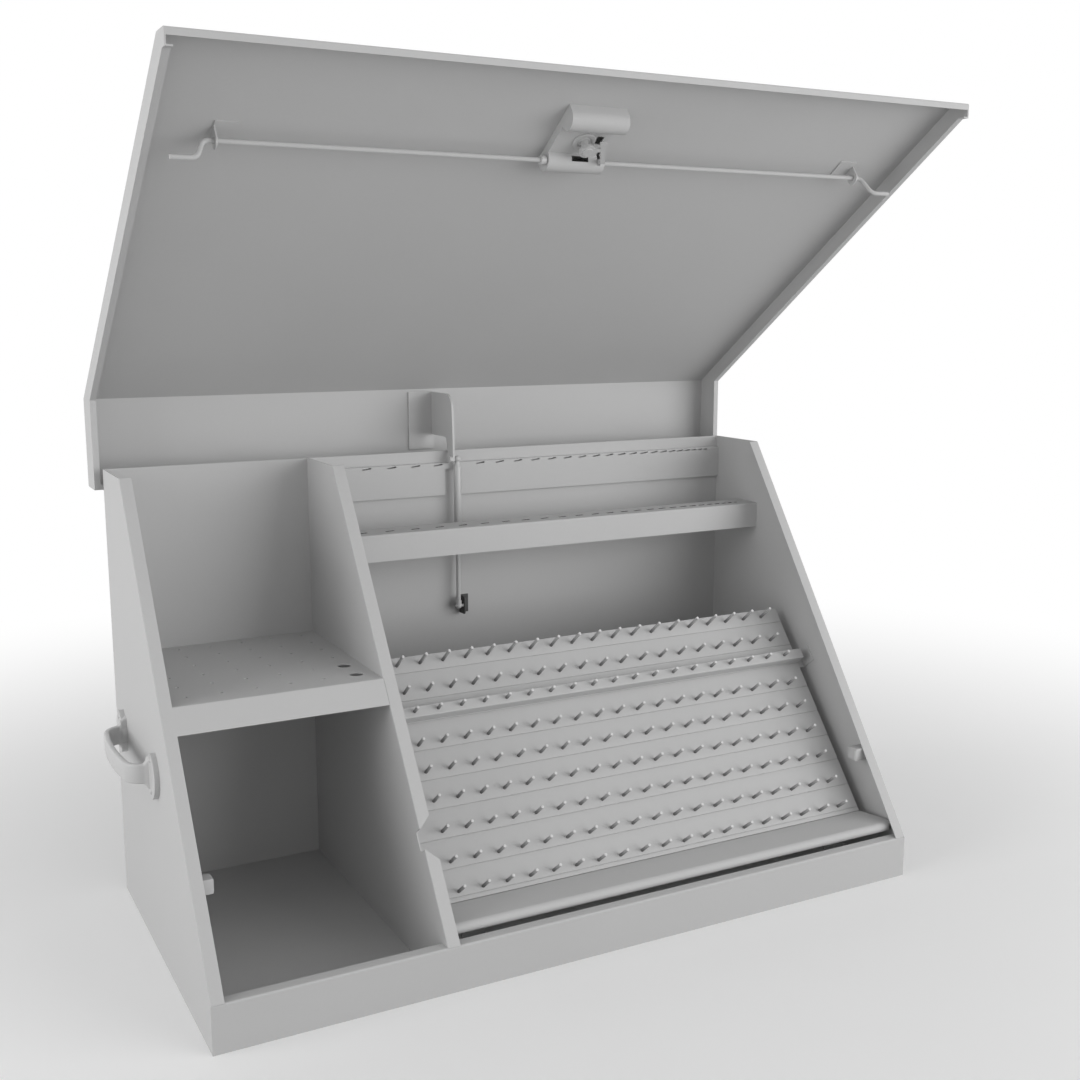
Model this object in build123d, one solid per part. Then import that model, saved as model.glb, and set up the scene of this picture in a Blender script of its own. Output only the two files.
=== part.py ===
from build123d import *
import math
import os

# Sheet-steel tool chest with a sloping front, a lift-up hood lid, a peg tray and a rod latch.
# The model is laid out from the case's lower front left corner (x to the right, y to the back,
# z up, millimetres) and is written out about the middle of its footprint. The lid stands open.

# Case
CASE_W = 914.4
CASE_D = 440.3
CASE_H = 545.0
TOP_D = 101.9
SILL_H = 53.8
SILL_FLANGE = 14.0
SHEET = 1.5
BEND = 0.8
SIDE_FLANGE = 14.4

# Divider and left shelf
DIVIDER_X = 258.3
DIVIDER_FLANGE = 15.1
NOTCH_BELOW = 5.5
NOTCH_ABOVE = 18.5
NOTCH_DEPTH = 13.0
NOTCH_CORNER = 4.0
SHELF_Z = 312.4
SHELF_APRON = 33.0
HOLE_PITCH_X = 40.1
HOLE_PITCH_Y = 42.4
HOLE_ROWS = 6
HOLE_R = 2.4
CORD_HOLE_R = 8.25
HOLE_SIDE = 21.5
HOLE_BACK = 17.0

# Tool rails
FRONT_RAIL_BACK = 106.3
FRONT_RAIL_DROP = 90.7
FRONT_RAIL_H = 35.3
FRONT_RAIL_DEPTH = 44.0
REAR_RAIL_DEPTH = 5.3
REAR_RAIL_DROP = 16.0
REAR_RAIL_H = 45.0
SLOT_LONG = 13.0
SLOT_WIDE = 4.5
SLOT_INSET = 20.0
SLOT_TURN = 8.7
SLOT_BRIDGE = 1.5
REAR_SLOT_WIDE = 1.8
REAR_SLOT_DROP = 3.0
REAR_SLOT_TURN = 7.0
SLOT_FIRST_PITCH = 37.0
SLOT_PITCH_STEP = 1.13
SLOT_START = 42.0
SLOT_COUNT = 26
RAIL_NOTCH_W = 24.0
RAIL_NOTCH_H = 36.0

# Peg tray
TRAY_TOP_Y = 263.7
TRAY_TOP_Z = 309.9
TRAY_FOOT_Y = 70.0
TRAY_FOOT_Z = 68.7
TRAY_MARGIN = 15.2
TRAY_SHEET = 1.2
SLAT = 1.0
SLAT_GAP = 0.5
PEG_ROWS = (10.7, 47.8, 79.3, 116.4, 151.1, 187.8, 225.5, 262.4, 297.8)
RIDGE_MID = 79.3
PEG_COUNT = 19
PEG_PITCH = 31.1
PEG_R = 1.6
PEG_LONG = 28.0
PEG_LEN = 22.0
PEG_SHORT = 14.0
RIDGE_RISE = 16.5
RIDGE_FACE = 14.5
NOSE_R = 6.5
NOSE_Y = 24.0
NOSE_FLARE = 10.5
NOSE_CORNER = 8.0
BRACKET_W = 25.0
BRACKET_H = 27.0
FOOT_W = 30.0

# Handles
HANDLE_Z = 226.5
HANDLE_FRONT_Y = 211.0
HANDLE_SPAN = 181.0
PLATE_H = 52.0
PLATE_W = 39.0
PLATE_T = 6.0
GRIP_H = 23.0
GRIP_T = 6.5
GRIP_IN = 27.5
GRIP_FOOT = 15.5
GRIP_LEAN = 3.5
GRIP_BEND = 16.0
GRIP_EDGE = 1.5
GRIP_FLARE = 4.0
SCREW_R = 2.4
SCREW_HEAD = 1.2
SCREW_UP = 18.5

# Lid
LID_GAP = 8.5
LID_RISE = 15.5
LID_CHEEK_TOP = 44.5
LID_CHEEK = 25.0
LID_FRONT = 28.9
LID_LIP = 7.3
LID_TAB = 16.5
HINGE_Y_OUT = 11.45
HINGE_DROP = 30.25

# Hinge
KNUCKLE_R = 3.0
PIN_R = 1.5
PIN_FIT = 0.05
LEAF = 1.2
LEAF_W = 30.0
KNUCKLES = 15
KNUCKLE_GAP = 0.4
RIVET_R = 3.0
RIVET_HEAD = 1.2

# Latch
ROD_R = 3.0
ROD_FROM_NOSE = 117.3
ROD_D = 14.0
CRANK_D = 22.0
CRANK_TIP_X = 16.0
CRANK_END_X = 32.0
CRANK_START_X = 58.0
CRANK_BEND = 10.0
ROD_FIT = 0.05
GUIDE_X = 61.0
GUIDE_W = 24.0
GUIDE_L = 25.0
GUIDE_R = 8.0
HOUSING_W = 70.0
ROLL_R = 12.4
ROLL_PITCH = 64.2
ROD_UP = 3.6
ROD_IN = 3.8
WINDOW_W = 21.0
WINDOW_H = 6.0
WINDOW_X = 28.2
WINDOW_UP = 27.0
HATCH_FROM = 13.4
HATCH_TO = 22.0
HATCH_DOWN = 4.0
HATCH_UP = 9.0
LOCK_HOLE_R = 11.0
LOCK_RING_R = 13.0
LOCK_RING = 2.0
LOCK_PLUG_R = 7.0
LOCK_DISC_R = 8.2
LOCK_D = 23.0
ESCUTCHEON_R = 22.0
ESCUTCHEON = 4.0
HANDLE_BAR_L = 64.0
HANDLE_BAR_W = 15.0
HANDLE_BAR_T = 12.0
CAM_R = 8.8
CAM_TIP = 10.8
CAM_W = 12.0
CAM_T = 2.0
CAM_NECK = 5.0
CAM_HEAD = (13.0, 15.0)
CAM_KNEE = (17.8, 3.5)
CAM_FOOT = (27.3, -17.0)
CAM_HEAD_W = 9.0
CAM_ARM_W = 6.0
CAM_CORNER = 1.0
LEVER_X = 27.3
LEVER_T = 3.0
LEVER_L = 14.0
LEVER_UP = 30.0
LEVER_W = 5.0
LEVER_PLAY = 0.6
LEVER_SLOT_FROM = 3.0
LEVER_SLOT_TO = 15.5
COLLAR_R = 5.0
COLLAR_W = 7.0
STRIKER_X = 26.0
STRIKER_Z = 16.3
STRIKER_PLAY = 3.3

# Gas strut
STRUT_X = 467.5
STRUT_BACK = 13.8
STRUT_DROP = 10.7
STRUT_OPEN = 207.0
STRUT_CYL_R = 5.0
STRUT_CYL_L = 94.0
STRUT_WALL = 1.0
STRUT_ROD_R = 3.0
STRUT_ROD_L = 107.0
STRUT_NECK_R = 3.5
STRUT_BALL_R = 4.8
STRUT_EYE_R = 4.4
STRUT_STUD_R = 2.0
STRUT_FIT = 0.05
STRUT_SIDE = 0.3
BRACKET_T = 3.0
LID_BRACKET_W = 37.4
LID_BRACKET_L = 79.5
NUT_R = 5.0
NUT_T = 4.0

# Worked out from the sizes above
SLOPE_Y = CASE_D - TOP_D
SLOPE_Z = CASE_H - SILL_H
SLOPE_L = math.hypot(SLOPE_Y, SLOPE_Z)
SIN = SLOPE_Y / SLOPE_L
COS = SLOPE_Z / SLOPE_L
MID_X = CASE_W / 2
BACK_IN = CASE_D - SHEET
RIGHT_IN = CASE_W - SHEET
BAY_X = DIVIDER_X + SHEET
BAY_MID = (BAY_X + RIGHT_IN) / 2
HINGE_Y = CASE_D + HINGE_Y_OUT
HINGE_Z = CASE_H - HINGE_DROP
LID_TOP = CASE_H + LID_RISE
LID_BACK = CASE_D + LID_GAP
LID_BEND_Y = (SIN * (LID_TOP - SILL_H) - LID_GAP) / COS
LID_NOSE_Z = SILL_H + LID_GAP * (1 - COS) / SIN
LID_L = math.hypot(LID_BEND_Y + LID_GAP, LID_TOP - LID_NOSE_Z)
ROD_T = LID_L - ROD_FROM_NOSE
ROLL_T = ROD_T - ROD_UP
ROLL_D = ROD_D - ROD_IN
LOCK_T = ROLL_T + ROLL_PITCH / 2
FRONT_RAIL_FACE_Y = CASE_D - FRONT_RAIL_BACK
FRONT_RAIL_TOP = CASE_H - FRONT_RAIL_DROP
REAR_RAIL_TOP = CASE_H - REAR_RAIL_DROP
STRUT_Y = CASE_D - SHEET - STRUT_BACK
STRUT_LOW_Z = CASE_H - STRUT_DROP - STRUT_OPEN
MIDDLE = Plane(origin=(MID_X, 0, 0), z_dir=(1, 0, 0))
BAY_MIDDLE = Plane(origin=(BAY_MID, 0, 0), z_dir=(1, 0, 0))
SLOPE = Plane(origin=(0, 0, SILL_H), x_dir=(1, 0, 0), z_dir=(0, -COS, SIN))
LID = Plane(origin=(0, LID_BEND_Y, LID_TOP), x_dir=(1, 0, 0), z_dir=(0, COS, -SIN))
TRAY_L = math.hypot(TRAY_TOP_Y - TRAY_FOOT_Y, TRAY_TOP_Z - TRAY_FOOT_Z)
TRAY_SIN = (TRAY_TOP_Y - TRAY_FOOT_Y) / TRAY_L
TRAY_COS = (TRAY_TOP_Z - TRAY_FOOT_Z) / TRAY_L
TRAY_X0 = BAY_X + TRAY_MARGIN
TRAY_X1 = RIGHT_IN - TRAY_MARGIN
TRAY = Plane(origin=(0, TRAY_TOP_Y, TRAY_TOP_Z), x_dir=(1, 0, 0), z_dir=(0, -TRAY_COS, TRAY_SIN))

parts = {}


def block(x0, x1, y0, y1, z0, z1):
    """Box between two corners."""
    centre = ((x0 + x1) / 2, (y0 + y1) / 2, (z0 + z1) / 2)
    return Pos(*centre) * Box(x1 - x0, y1 - y0, z1 - z0)


def across(face, x0, x1):
    """Carry a (y, z) section across the chest from x0 to x1."""
    plane = Plane(origin=(x0, 0, 0), x_dir=(0, 1, 0), z_dir=(1, 0, 0))
    return extrude(plane * face, amount=x1 - x0)


def outline(points, radii):
    """Closed face with one corner radius per point."""
    return make_face(FilletPolyline(*points, radius=radii, close=True))


def strip(path, sheet, bend=BEND):
    """Section of a bent sheet that lies on the left of its path."""
    points = [Vector(*p) for p in path]
    runs = [(b - a).normalized() for a, b in zip(points, points[1:])]
    normals = [Vector(-run.Y, run.X) for run in runs]
    inner = [points[0] + normals[0] * sheet]
    near = []
    far = []
    for point, before, after in zip(points[1:-1], normals, normals[1:]):
        bisector = before + after
        inner.append(point + bisector * (2 * sheet / bisector.dot(bisector)))
        left = before.cross(after).Z > 0
        near.append(bend + sheet if left else bend)
        far.append(bend if left else bend + sheet)
    inner.append(points[-1] + normals[-1] * sheet)
    radii = [0, *near, 0, 0, *reversed(far), 0]
    return outline([*points, *reversed(inner)], radii)


def on_slope(along, depth):
    """(y, z) of a place on the sloping front, measured up from the sill and inwards."""
    return (SIN * along + COS * depth, SILL_H + COS * along - SIN * depth)


def on_lid(down, depth):
    """(y, z) of a place on the closed lid, measured down from its bend and inwards."""
    return (LID_BEND_Y - SIN * down + COS * depth, LID_TOP - COS * down - SIN * depth)


def opened(shape):
    """Swing a closed lid piece up to the open rest pose."""
    return shape.rotate(Axis((0, HINGE_Y, HINGE_Z), (1, 0, 0)), -90)


def lid_piece(shape):
    """Place a piece drawn on the lid's own plane (x, down, inwards) and open it."""
    return opened(LID * shape)


def both(name, shape, plane=MIDDLE):
    """Keep a left-hand piece and its mirror image."""
    parts[name + "_left"] = shape
    parts[name + "_right"] = mirror(shape, about=plane)


def rail_slots():
    """Centres and lengths of the rail slots, whose spacing shrinks steadily to the right."""
    x = BAY_X + SLOT_START
    pitch = SLOT_FIRST_PITCH
    slots = []
    for _ in range(SLOT_COUNT):
        slots.append((x, min(SLOT_LONG, pitch - SLOT_PITCH_STEP - SLOT_BRIDGE)))
        x += pitch
        pitch -= SLOT_PITCH_STEP
    return [(c, long) for c, long in slots if c < RIGHT_IN - SLOT_LONG]


def build_case():
    """Side, back, bottom, sill and divider panels."""
    web = across(make_face(Polyline((0, 0), (CASE_D, 0), (CASE_D, CASE_H), (SLOPE_Y, CASE_H),
                                    (0, SILL_H), close=True)), 0, SHEET)
    behind = SHEET / COS
    band = Polyline((0, SILL_H), (behind, SILL_H), (SLOPE_Y + behind, CASE_H), (SLOPE_Y, CASE_H),
                    close=True)
    side = web + across(make_face(band), 0, SIDE_FLANGE)
    half_up = (0, SLOPE_Y / 2, SILL_H + SLOPE_Z / 2)
    front_edge = side.edges().sort_by_distance(half_up)[0]
    both_sides = fillet(front_edge, SHEET * 0.8)
    parts["left_side_panel"] = both_sides
    parts["right_side_panel"] = mirror(both_sides, about=MIDDLE)
    parts["back_panel"] = block(SHEET, RIGHT_IN, BACK_IN, CASE_D, 0, CASE_H)
    parts["bottom_panel"] = block(SHEET, RIGHT_IN, SHEET, BACK_IN, 0, SHEET)
    sill = strip([(SILL_FLANGE, SILL_H), (0, SILL_H), (0, 0)], SHEET)
    parts["front_sill"] = across(sill, SHEET, RIGHT_IN)

    corner = BEND + SHEET / 2
    web = across(make_face(Polyline(
        (SHEET, SHEET), (BACK_IN, SHEET), (BACK_IN, CASE_H), (SLOPE_Y, CASE_H), (0, SILL_H),
        (SILL_FLANGE, SILL_H), (SILL_FLANGE, SILL_H - SHEET), (SHEET + corner, SILL_H - SHEET),
        (SHEET, SILL_H - SHEET - corner), close=True)), DIVIDER_X, BAY_X)
    divider = web + across(make_face(band), DIVIDER_X, DIVIDER_X + DIVIDER_FLANGE)
    front_edge = divider.edges().sort_by_distance((DIVIDER_X, *half_up[1:]))[0]
    divider = fillet(front_edge, SHEET * 0.8)
    low = ROD_ALONG - NOTCH_BELOW
    high = ROD_ALONG + NOTCH_ABOVE
    x1 = DIVIDER_X + DIVIDER_FLANGE
    run = DIVIDER_FLANGE - SHEET
    mouth = make_face(Polyline((BAY_X, low), (x1, low - run), (x1 + 1, low - run), (x1 + 1, high + run),
                               (x1, high + run), (BAY_X, high), close=True))
    divider -= extrude(SLOPE * mouth, amount=-2 * SHEET)
    depth = outline([on_slope(low, -1), on_slope(low, NOTCH_DEPTH), on_slope(high, NOTCH_DEPTH),
                     on_slope(high, -1)], [0, NOTCH_CORNER, NOTCH_CORNER, 0])
    divider -= across(depth, DIVIDER_X - 1, BAY_X + 1)
    parts["divider_panel"] = divider


def build_shelf():
    """Left shelf with its apron flush with the sloping front and its drilled grid."""
    front = on_slope((SHELF_Z - SILL_H) / COS, 0)
    foot = (front[0] - SIN * SHELF_APRON, front[1] - COS * SHELF_APRON)
    shelf = across(strip([(BACK_IN, SHELF_Z), front, foot], SHEET), SIDE_FLANGE, DIVIDER_X)
    ear_y = front[0] + 2 * SHEET / COS
    shelf += block(SHEET, SIDE_FLANGE + 1, ear_y, BACK_IN, SHELF_Z - SHEET, SHELF_Z)
    last_x = DIVIDER_X - HOLE_SIDE
    last_y = BACK_IN - HOLE_BACK
    for column in range(HOLE_ROWS):
        for row in range(HOLE_ROWS):
            large = column == 0 and row >= HOLE_ROWS - 2
            radius = CORD_HOLE_R if large else HOLE_R
            x = last_x - column * HOLE_PITCH_X
            y = last_y - row * HOLE_PITCH_Y
            shelf -= Pos(x, y, SHELF_Z) * Cylinder(radius, 4 * SHEET)
    parts["left_shelf"] = shelf


def build_rails():
    """Front and rear tool rails with their rows of slots."""
    face = FRONT_RAIL_FACE_Y
    rail = across(strip([(face + FRONT_RAIL_DEPTH, FRONT_RAIL_TOP), (face, FRONT_RAIL_TOP),
                         (face, FRONT_RAIL_TOP - FRONT_RAIL_H)], SHEET), BAY_X, RIGHT_IN)
    back = BACK_IN - REAR_RAIL_DEPTH
    rear = across(strip([(BACK_IN, REAR_RAIL_TOP), (back, REAR_RAIL_TOP),
                         (back, REAR_RAIL_TOP - REAR_RAIL_H)], SHEET), BAY_X, RIGHT_IN)
    for x, long in rail_slots():
        slot = Rot(0, 0, SLOT_TURN) * Box(long, SLOT_WIDE, 4 * SHEET)
        rail -= Pos(x, face + SLOT_INSET, FRONT_RAIL_TOP) * slot
        if abs(x - STRUT_X) > RAIL_NOTCH_W:
            slit = Rot(0, -REAR_SLOT_TURN, 0) * Box(long, 4 * SHEET, REAR_SLOT_WIDE)
            rear -= Pos(x, back, REAR_RAIL_TOP - REAR_SLOT_DROP) * slit
    bottom = REAR_RAIL_TOP - REAR_RAIL_H
    rear -= block(STRUT_X - RAIL_NOTCH_W * 0.6, STRUT_X + RAIL_NOTCH_W * 0.4, back - 1,
                  BACK_IN + 1, bottom - 1, bottom + RAIL_NOTCH_H)
    parts["front_tool_rail"] = rail
    parts["rear_tool_rail"] = rear


def tray_box(x0, x1, s0, s1, d0, d1):
    """Box on the tray's plane: s runs down from its top edge and d stands out of its face."""
    return TRAY * block(x0, x1, -s1, -s0, d0, d1)


def build_tray():
    """Peg tray: back sheet, slats, raised ridge, rolled nose, pegs and brackets."""
    parts["tray_panel"] = tray_box(TRAY_X0, TRAY_X1, 0, TRAY_L, -TRAY_SHEET - SLAT, -SLAT)
    rows = list(PEG_ROWS)
    seams = [0, *[(a + b) / 2 for a, b in zip(rows, rows[1:])], TRAY_L]
    slats = []
    for top, foot in zip(seams, seams[1:]):
        slats.append(tray_box(TRAY_X0, TRAY_X1, top, foot - SLAT_GAP, -SLAT, 0))
    parts["tray_slats"] = Compound(children=slats)

    top = -(RIDGE_MID - RIDGE_FACE / 2)
    low = -(RIDGE_MID + RIDGE_FACE / 2)
    channel = strip([(0, low), (RIDGE_RISE, low), (RIDGE_RISE, top), (0, top)], TRAY_SHEET)
    turn = Plane(origin=(TRAY_X0, 0, 0), x_dir=(0, 0, 1), z_dir=(1, 0, 0))
    ridge = extrude(turn * mirror(channel, about=Plane.XZ), amount=TRAY_X1 - TRAY_X0)
    parts["tray_ridge"] = TRAY * ridge

    step = (TRAY_X1 - TRAY_X0 - (PEG_COUNT - 1) * PEG_PITCH) / 2
    pegs = []
    for row, s in enumerate(PEG_ROWS):
        on_ridge = abs(s - RIDGE_MID) < RIDGE_FACE / 2
        base = RIDGE_RISE if on_ridge else 0
        length = PEG_SHORT if on_ridge else PEG_LONG if row == 0 else PEG_LEN
        for column in range(PEG_COUNT):
            x = TRAY_X0 + step + column * PEG_PITCH
            peg = extrude(Pos(x, -s, base) * RegularPolygon(PEG_R, 6), amount=length)
            pegs.append(TRAY * peg)
    parts["tray_pegs"] = Compound(children=pegs)

    sheet_top = TRAY_FOOT_Z
    ring = Pos(NOSE_Y, sheet_top - NOSE_R) * (Circle(NOSE_R) - Circle(NOSE_R - TRAY_SHEET))
    ring -= Pos(NOSE_Y + NOSE_R / 2, sheet_top - 1.5 * NOSE_R) * Rectangle(NOSE_R, NOSE_R)
    ring -= Pos(NOSE_Y + NOSE_R / 2, sheet_top - 0.6 * NOSE_R) * Rectangle(NOSE_R, NOSE_R * 0.8)
    foot = TRAY_FOOT_Y - SLAT / TRAY_COS
    ledge = Pos((NOSE_Y + foot) / 2, sheet_top - TRAY_SHEET / 2) * Rectangle(foot - NOSE_Y, TRAY_SHEET)
    nose = across(ring + ledge, TRAY_X0 - NOSE_FLARE, TRAY_X1 + NOSE_FLARE)
    front = NOSE_Y - NOSE_R
    wide0 = TRAY_X0 - NOSE_FLARE
    wide1 = TRAY_X1 + NOSE_FLARE
    flare_y = NOSE_Y + NOSE_CORNER
    plan = outline([(wide0, front), (wide1, front), (wide1, flare_y), (TRAY_X1, foot),
                    (TRAY_X0, foot), (wide0, flare_y)], [NOSE_CORNER, NOSE_CORNER, 0, 0, 0, 0])
    parts["tray_nose"] = nose & extrude(plan, amount=CASE_H)

    bracket = tray_box(BAY_X, TRAY_X0, RIDGE_MID - BRACKET_H / 2, RIDGE_MID + BRACKET_H / 2,
                       RIDGE_RISE - TRAY_SHEET, RIDGE_RISE)
    bracket += tray_box(BAY_X, BAY_X + TRAY_SHEET, RIDGE_MID - BRACKET_H / 2, RIDGE_MID + BRACKET_H / 2,
                        RIDGE_RISE - BRACKET_W, RIDGE_RISE)
    both("tray_bracket", bracket, BAY_MIDDLE)

    foot_y = TRAY_FOOT_Y - TRAY_SHEET
    leg_top = TRAY_FOOT_Z - TRAY_SHEET
    leg = strip([(foot_y - FOOT_W / 2, leg_top), (foot_y, leg_top), (foot_y, SHEET),
                 (foot_y - FOOT_W / 2, SHEET)][::-1], SHEET)
    legs = [across(leg, x, x + FOOT_W) for x in (TRAY_X0 + FOOT_W, TRAY_X1 - 2 * FOOT_W)]
    parts["tray_feet"] = Compound(children=legs)


def build_handles():
    """Arched grips that rise from two lens-shaped end plates, with their screws."""
    centres = (HANDLE_FRONT_Y, HANDLE_FRONT_Y + HANDLE_SPAN)
    wall = Plane(origin=(0, 0, HANDLE_Z), x_dir=(0, 1, 0), z_dir=(-1, 0, 0))
    half_w = PLATE_W / 2
    half_h = PLATE_H / 2
    lens = make_face([ThreePointArc((0, -half_h), (half_w, 0), (0, half_h)),
                      ThreePointArc((0, half_h), (-half_w, 0), (0, -half_h))])
    plates = [extrude(wall * Pos(y, 0) * lens, amount=PLATE_T) for y in centres]
    near = centres[0] + GRIP_FOOT
    far = centres[1] - GRIP_FOOT
    arch = strip([(far, 0), (far - GRIP_LEAN, -GRIP_IN), (near + GRIP_LEAN, -GRIP_IN), (near, 0)],
                 GRIP_T, GRIP_BEND)
    flat = Plane(origin=(0, 0, HANDLE_Z + GRIP_H / 2), x_dir=(0, 1, 0), z_dir=(0, 0, -1))
    grip = extrude(flat * arch, amount=GRIP_H)
    sides = grip.faces().filter_by(Axis.Z)
    grip = chamfer([e for face in sides for e in face.edges() if e.center().X < -PLATE_T],
                   GRIP_EDGE)
    grip += plates
    feet = [e for e in grip.edges().filter_by(Axis.Z) if abs(e.center().X + PLATE_T) < BEND / 4
            and abs(e.center().Y - sum(centres) / 2) > (far - near) / 2 + GRIP_T / 2]
    grip = fillet(feet, GRIP_FLARE)
    both("handle", grip)

    screws = []
    for y in centres:
        for side in (-1, 1):
            head = wall * Pos(y, side * SCREW_UP, PLATE_T) * Cylinder(
                SCREW_R, SCREW_HEAD, align=(Align.CENTER, Align.CENTER, Align.MIN))
            screws.append(chamfer(head.edges().sort_by(Axis.X)[0], SCREW_HEAD * 0.4))
    screws += [mirror(screw, about=MIDDLE) for screw in screws]
    parts["handle_screws"] = Compound(children=screws)


def build_lid():
    """Hood: one folded sheet with deep cheeks and a turned-in lip on every free edge."""
    x0 = -LID_GAP
    x1 = CASE_W + LID_GAP
    edge_z = LID_TOP - LID_CHEEK_TOP
    foot_z = LID_NOSE_Z - LID_FRONT
    profile = [(LID_BACK, edge_z), (LID_BACK, LID_TOP), (LID_BEND_Y, LID_TOP), (-LID_GAP, LID_NOSE_Z),
               (-LID_GAP, foot_z)]
    lip_back = (LID_BACK - LID_LIP, edge_z)
    lip_front = (-LID_GAP + LID_LIP, foot_z)
    shell = across(strip([lip_back, *profile, lip_front], SHEET), x0, x1)
    bend = on_lid((LID_CHEEK_TOP - LID_CHEEK * SIN) / COS, LID_CHEEK)
    low = on_lid((LID_BEND_Y + COS * LID_CHEEK + LID_GAP - LID_TAB) / SIN, LID_CHEEK)
    corner = (low[0], foot_z)
    r = BEND + SHEET
    cheek = outline([*profile, corner, low, bend], [r, r, r, r, r, 0, 0, 0])
    shell += across(cheek, x0, x0 + SHEET)
    shell += across(cheek, x1 - SHEET, x1)
    lip = strip([corner, low, bend, lip_back], SHEET)
    shell += across(lip, x0, x0 + LID_LIP)
    shell += across(lip, x1 - LID_LIP, x1)
    shell -= LID * (Pos(MID_X, LOCK_T, 0) * Cylinder(LOCK_HOLE_R, 6 * SHEET))
    parts["lid_shell"] = opened(shell)


def build_hinge():
    """Continuous hinge: two leaves with interleaved knuckles on one pin, and its rivets."""
    x0 = SHEET + LEAF
    x1 = CASE_W - x0
    pitch = (x1 - x0) / KNUCKLES
    bore = PIN_R + PIN_FIT
    spots = [(x0 + i * pitch + KNUCKLE_GAP / 2, x0 + (i + 1) * pitch - KNUCKLE_GAP / 2)
             for i in range(KNUCKLES)]
    ring = Pos(HINGE_Y, HINGE_Z) * (Circle(KNUCKLE_R) - Circle(bore))
    clear = KNUCKLE_R + KNUCKLE_GAP

    near = HINGE_Y - KNUCKLE_R
    knee = HINGE_Z - KNUCKLE_R * 2
    leaf = across(strip([(CASE_D, HINGE_Z - LEAF_W), (CASE_D, knee - near + CASE_D), (near, knee),
                         (near, HINGE_Z)][::-1], LEAF), x0, x1)
    lid_leaf = across(make_face(Polyline(
        (LID_BACK, HINGE_Z), (LID_BACK, HINGE_Z + LEAF_W), (LID_BACK + LEAF, HINGE_Z + LEAF_W),
        (LID_BACK + LEAF, HINGE_Z), close=True)), x0, x1)
    for index, (a, b) in enumerate(spots):
        room = Pos((a + b) / 2, HINGE_Y, HINGE_Z) * Rot(0, 90, 0) * Cylinder(
            clear, b - a + KNUCKLE_GAP)
        own = Pos((a + b) / 2, HINGE_Y, HINGE_Z) * Rot(0, 90, 0) * Cylinder(bore, b - a + 2)
        knuckle = across(ring, a, b)
        if index % 2 == 0:
            leaf = (leaf - own) + knuckle
            lid_leaf -= room
        else:
            lid_leaf = (lid_leaf - own) + knuckle
            leaf -= room
    parts["hinge_case_leaf"] = leaf
    parts["hinge_lid_leaf"] = opened(lid_leaf)
    pin = Pos(MID_X, HINGE_Y, HINGE_Z) * Rot(0, 90, 0) * Cylinder(PIN_R, x1 - x0)
    parts["hinge_pin"] = pin
    rivets = []
    for index in range(0, KNUCKLES, 2):
        x = sum(spots[index]) / 2
        dome = Pos(x, CASE_D + LEAF, HINGE_Z - LEAF_W * 0.8) * Rot(-90, 0, 0) * Cylinder(
            RIVET_R, RIVET_HEAD, align=(Align.CENTER, Align.CENTER, Align.MIN))
        rivets.append(chamfer(dome.edges().sort_by(Axis.Y)[-1], RIVET_HEAD * 0.5))
    parts["hinge_rivets"] = Compound(children=rivets)


def hump(radius, deck):
    """Housing section: a flat deck between two rolls, cut off where it meets the lid's sheet."""
    low_t = ROLL_T - radius
    long = ROLL_PITCH + 2 * radius
    face = Pos(low_t + long / 2, deck / 2) * Rectangle(long, deck)
    for centre in (ROLL_T, ROLL_T + ROLL_PITCH):
        face += Pos(centre, ROLL_D) * Circle(radius)
    return face - Pos(low_t + long / 2, SHEET - ROLL_R) * Rectangle(2 * long, 2 * ROLL_R)


def lid_across(face, x0, x1):
    """Carry a section drawn in (down, inwards) along the lid from x0 to x1."""
    plane = Plane(origin=(x0, 0, 0), x_dir=(0, 1, 0), z_dir=(1, 0, 0))
    return extrude(plane * face, amount=x1 - x0)


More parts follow.
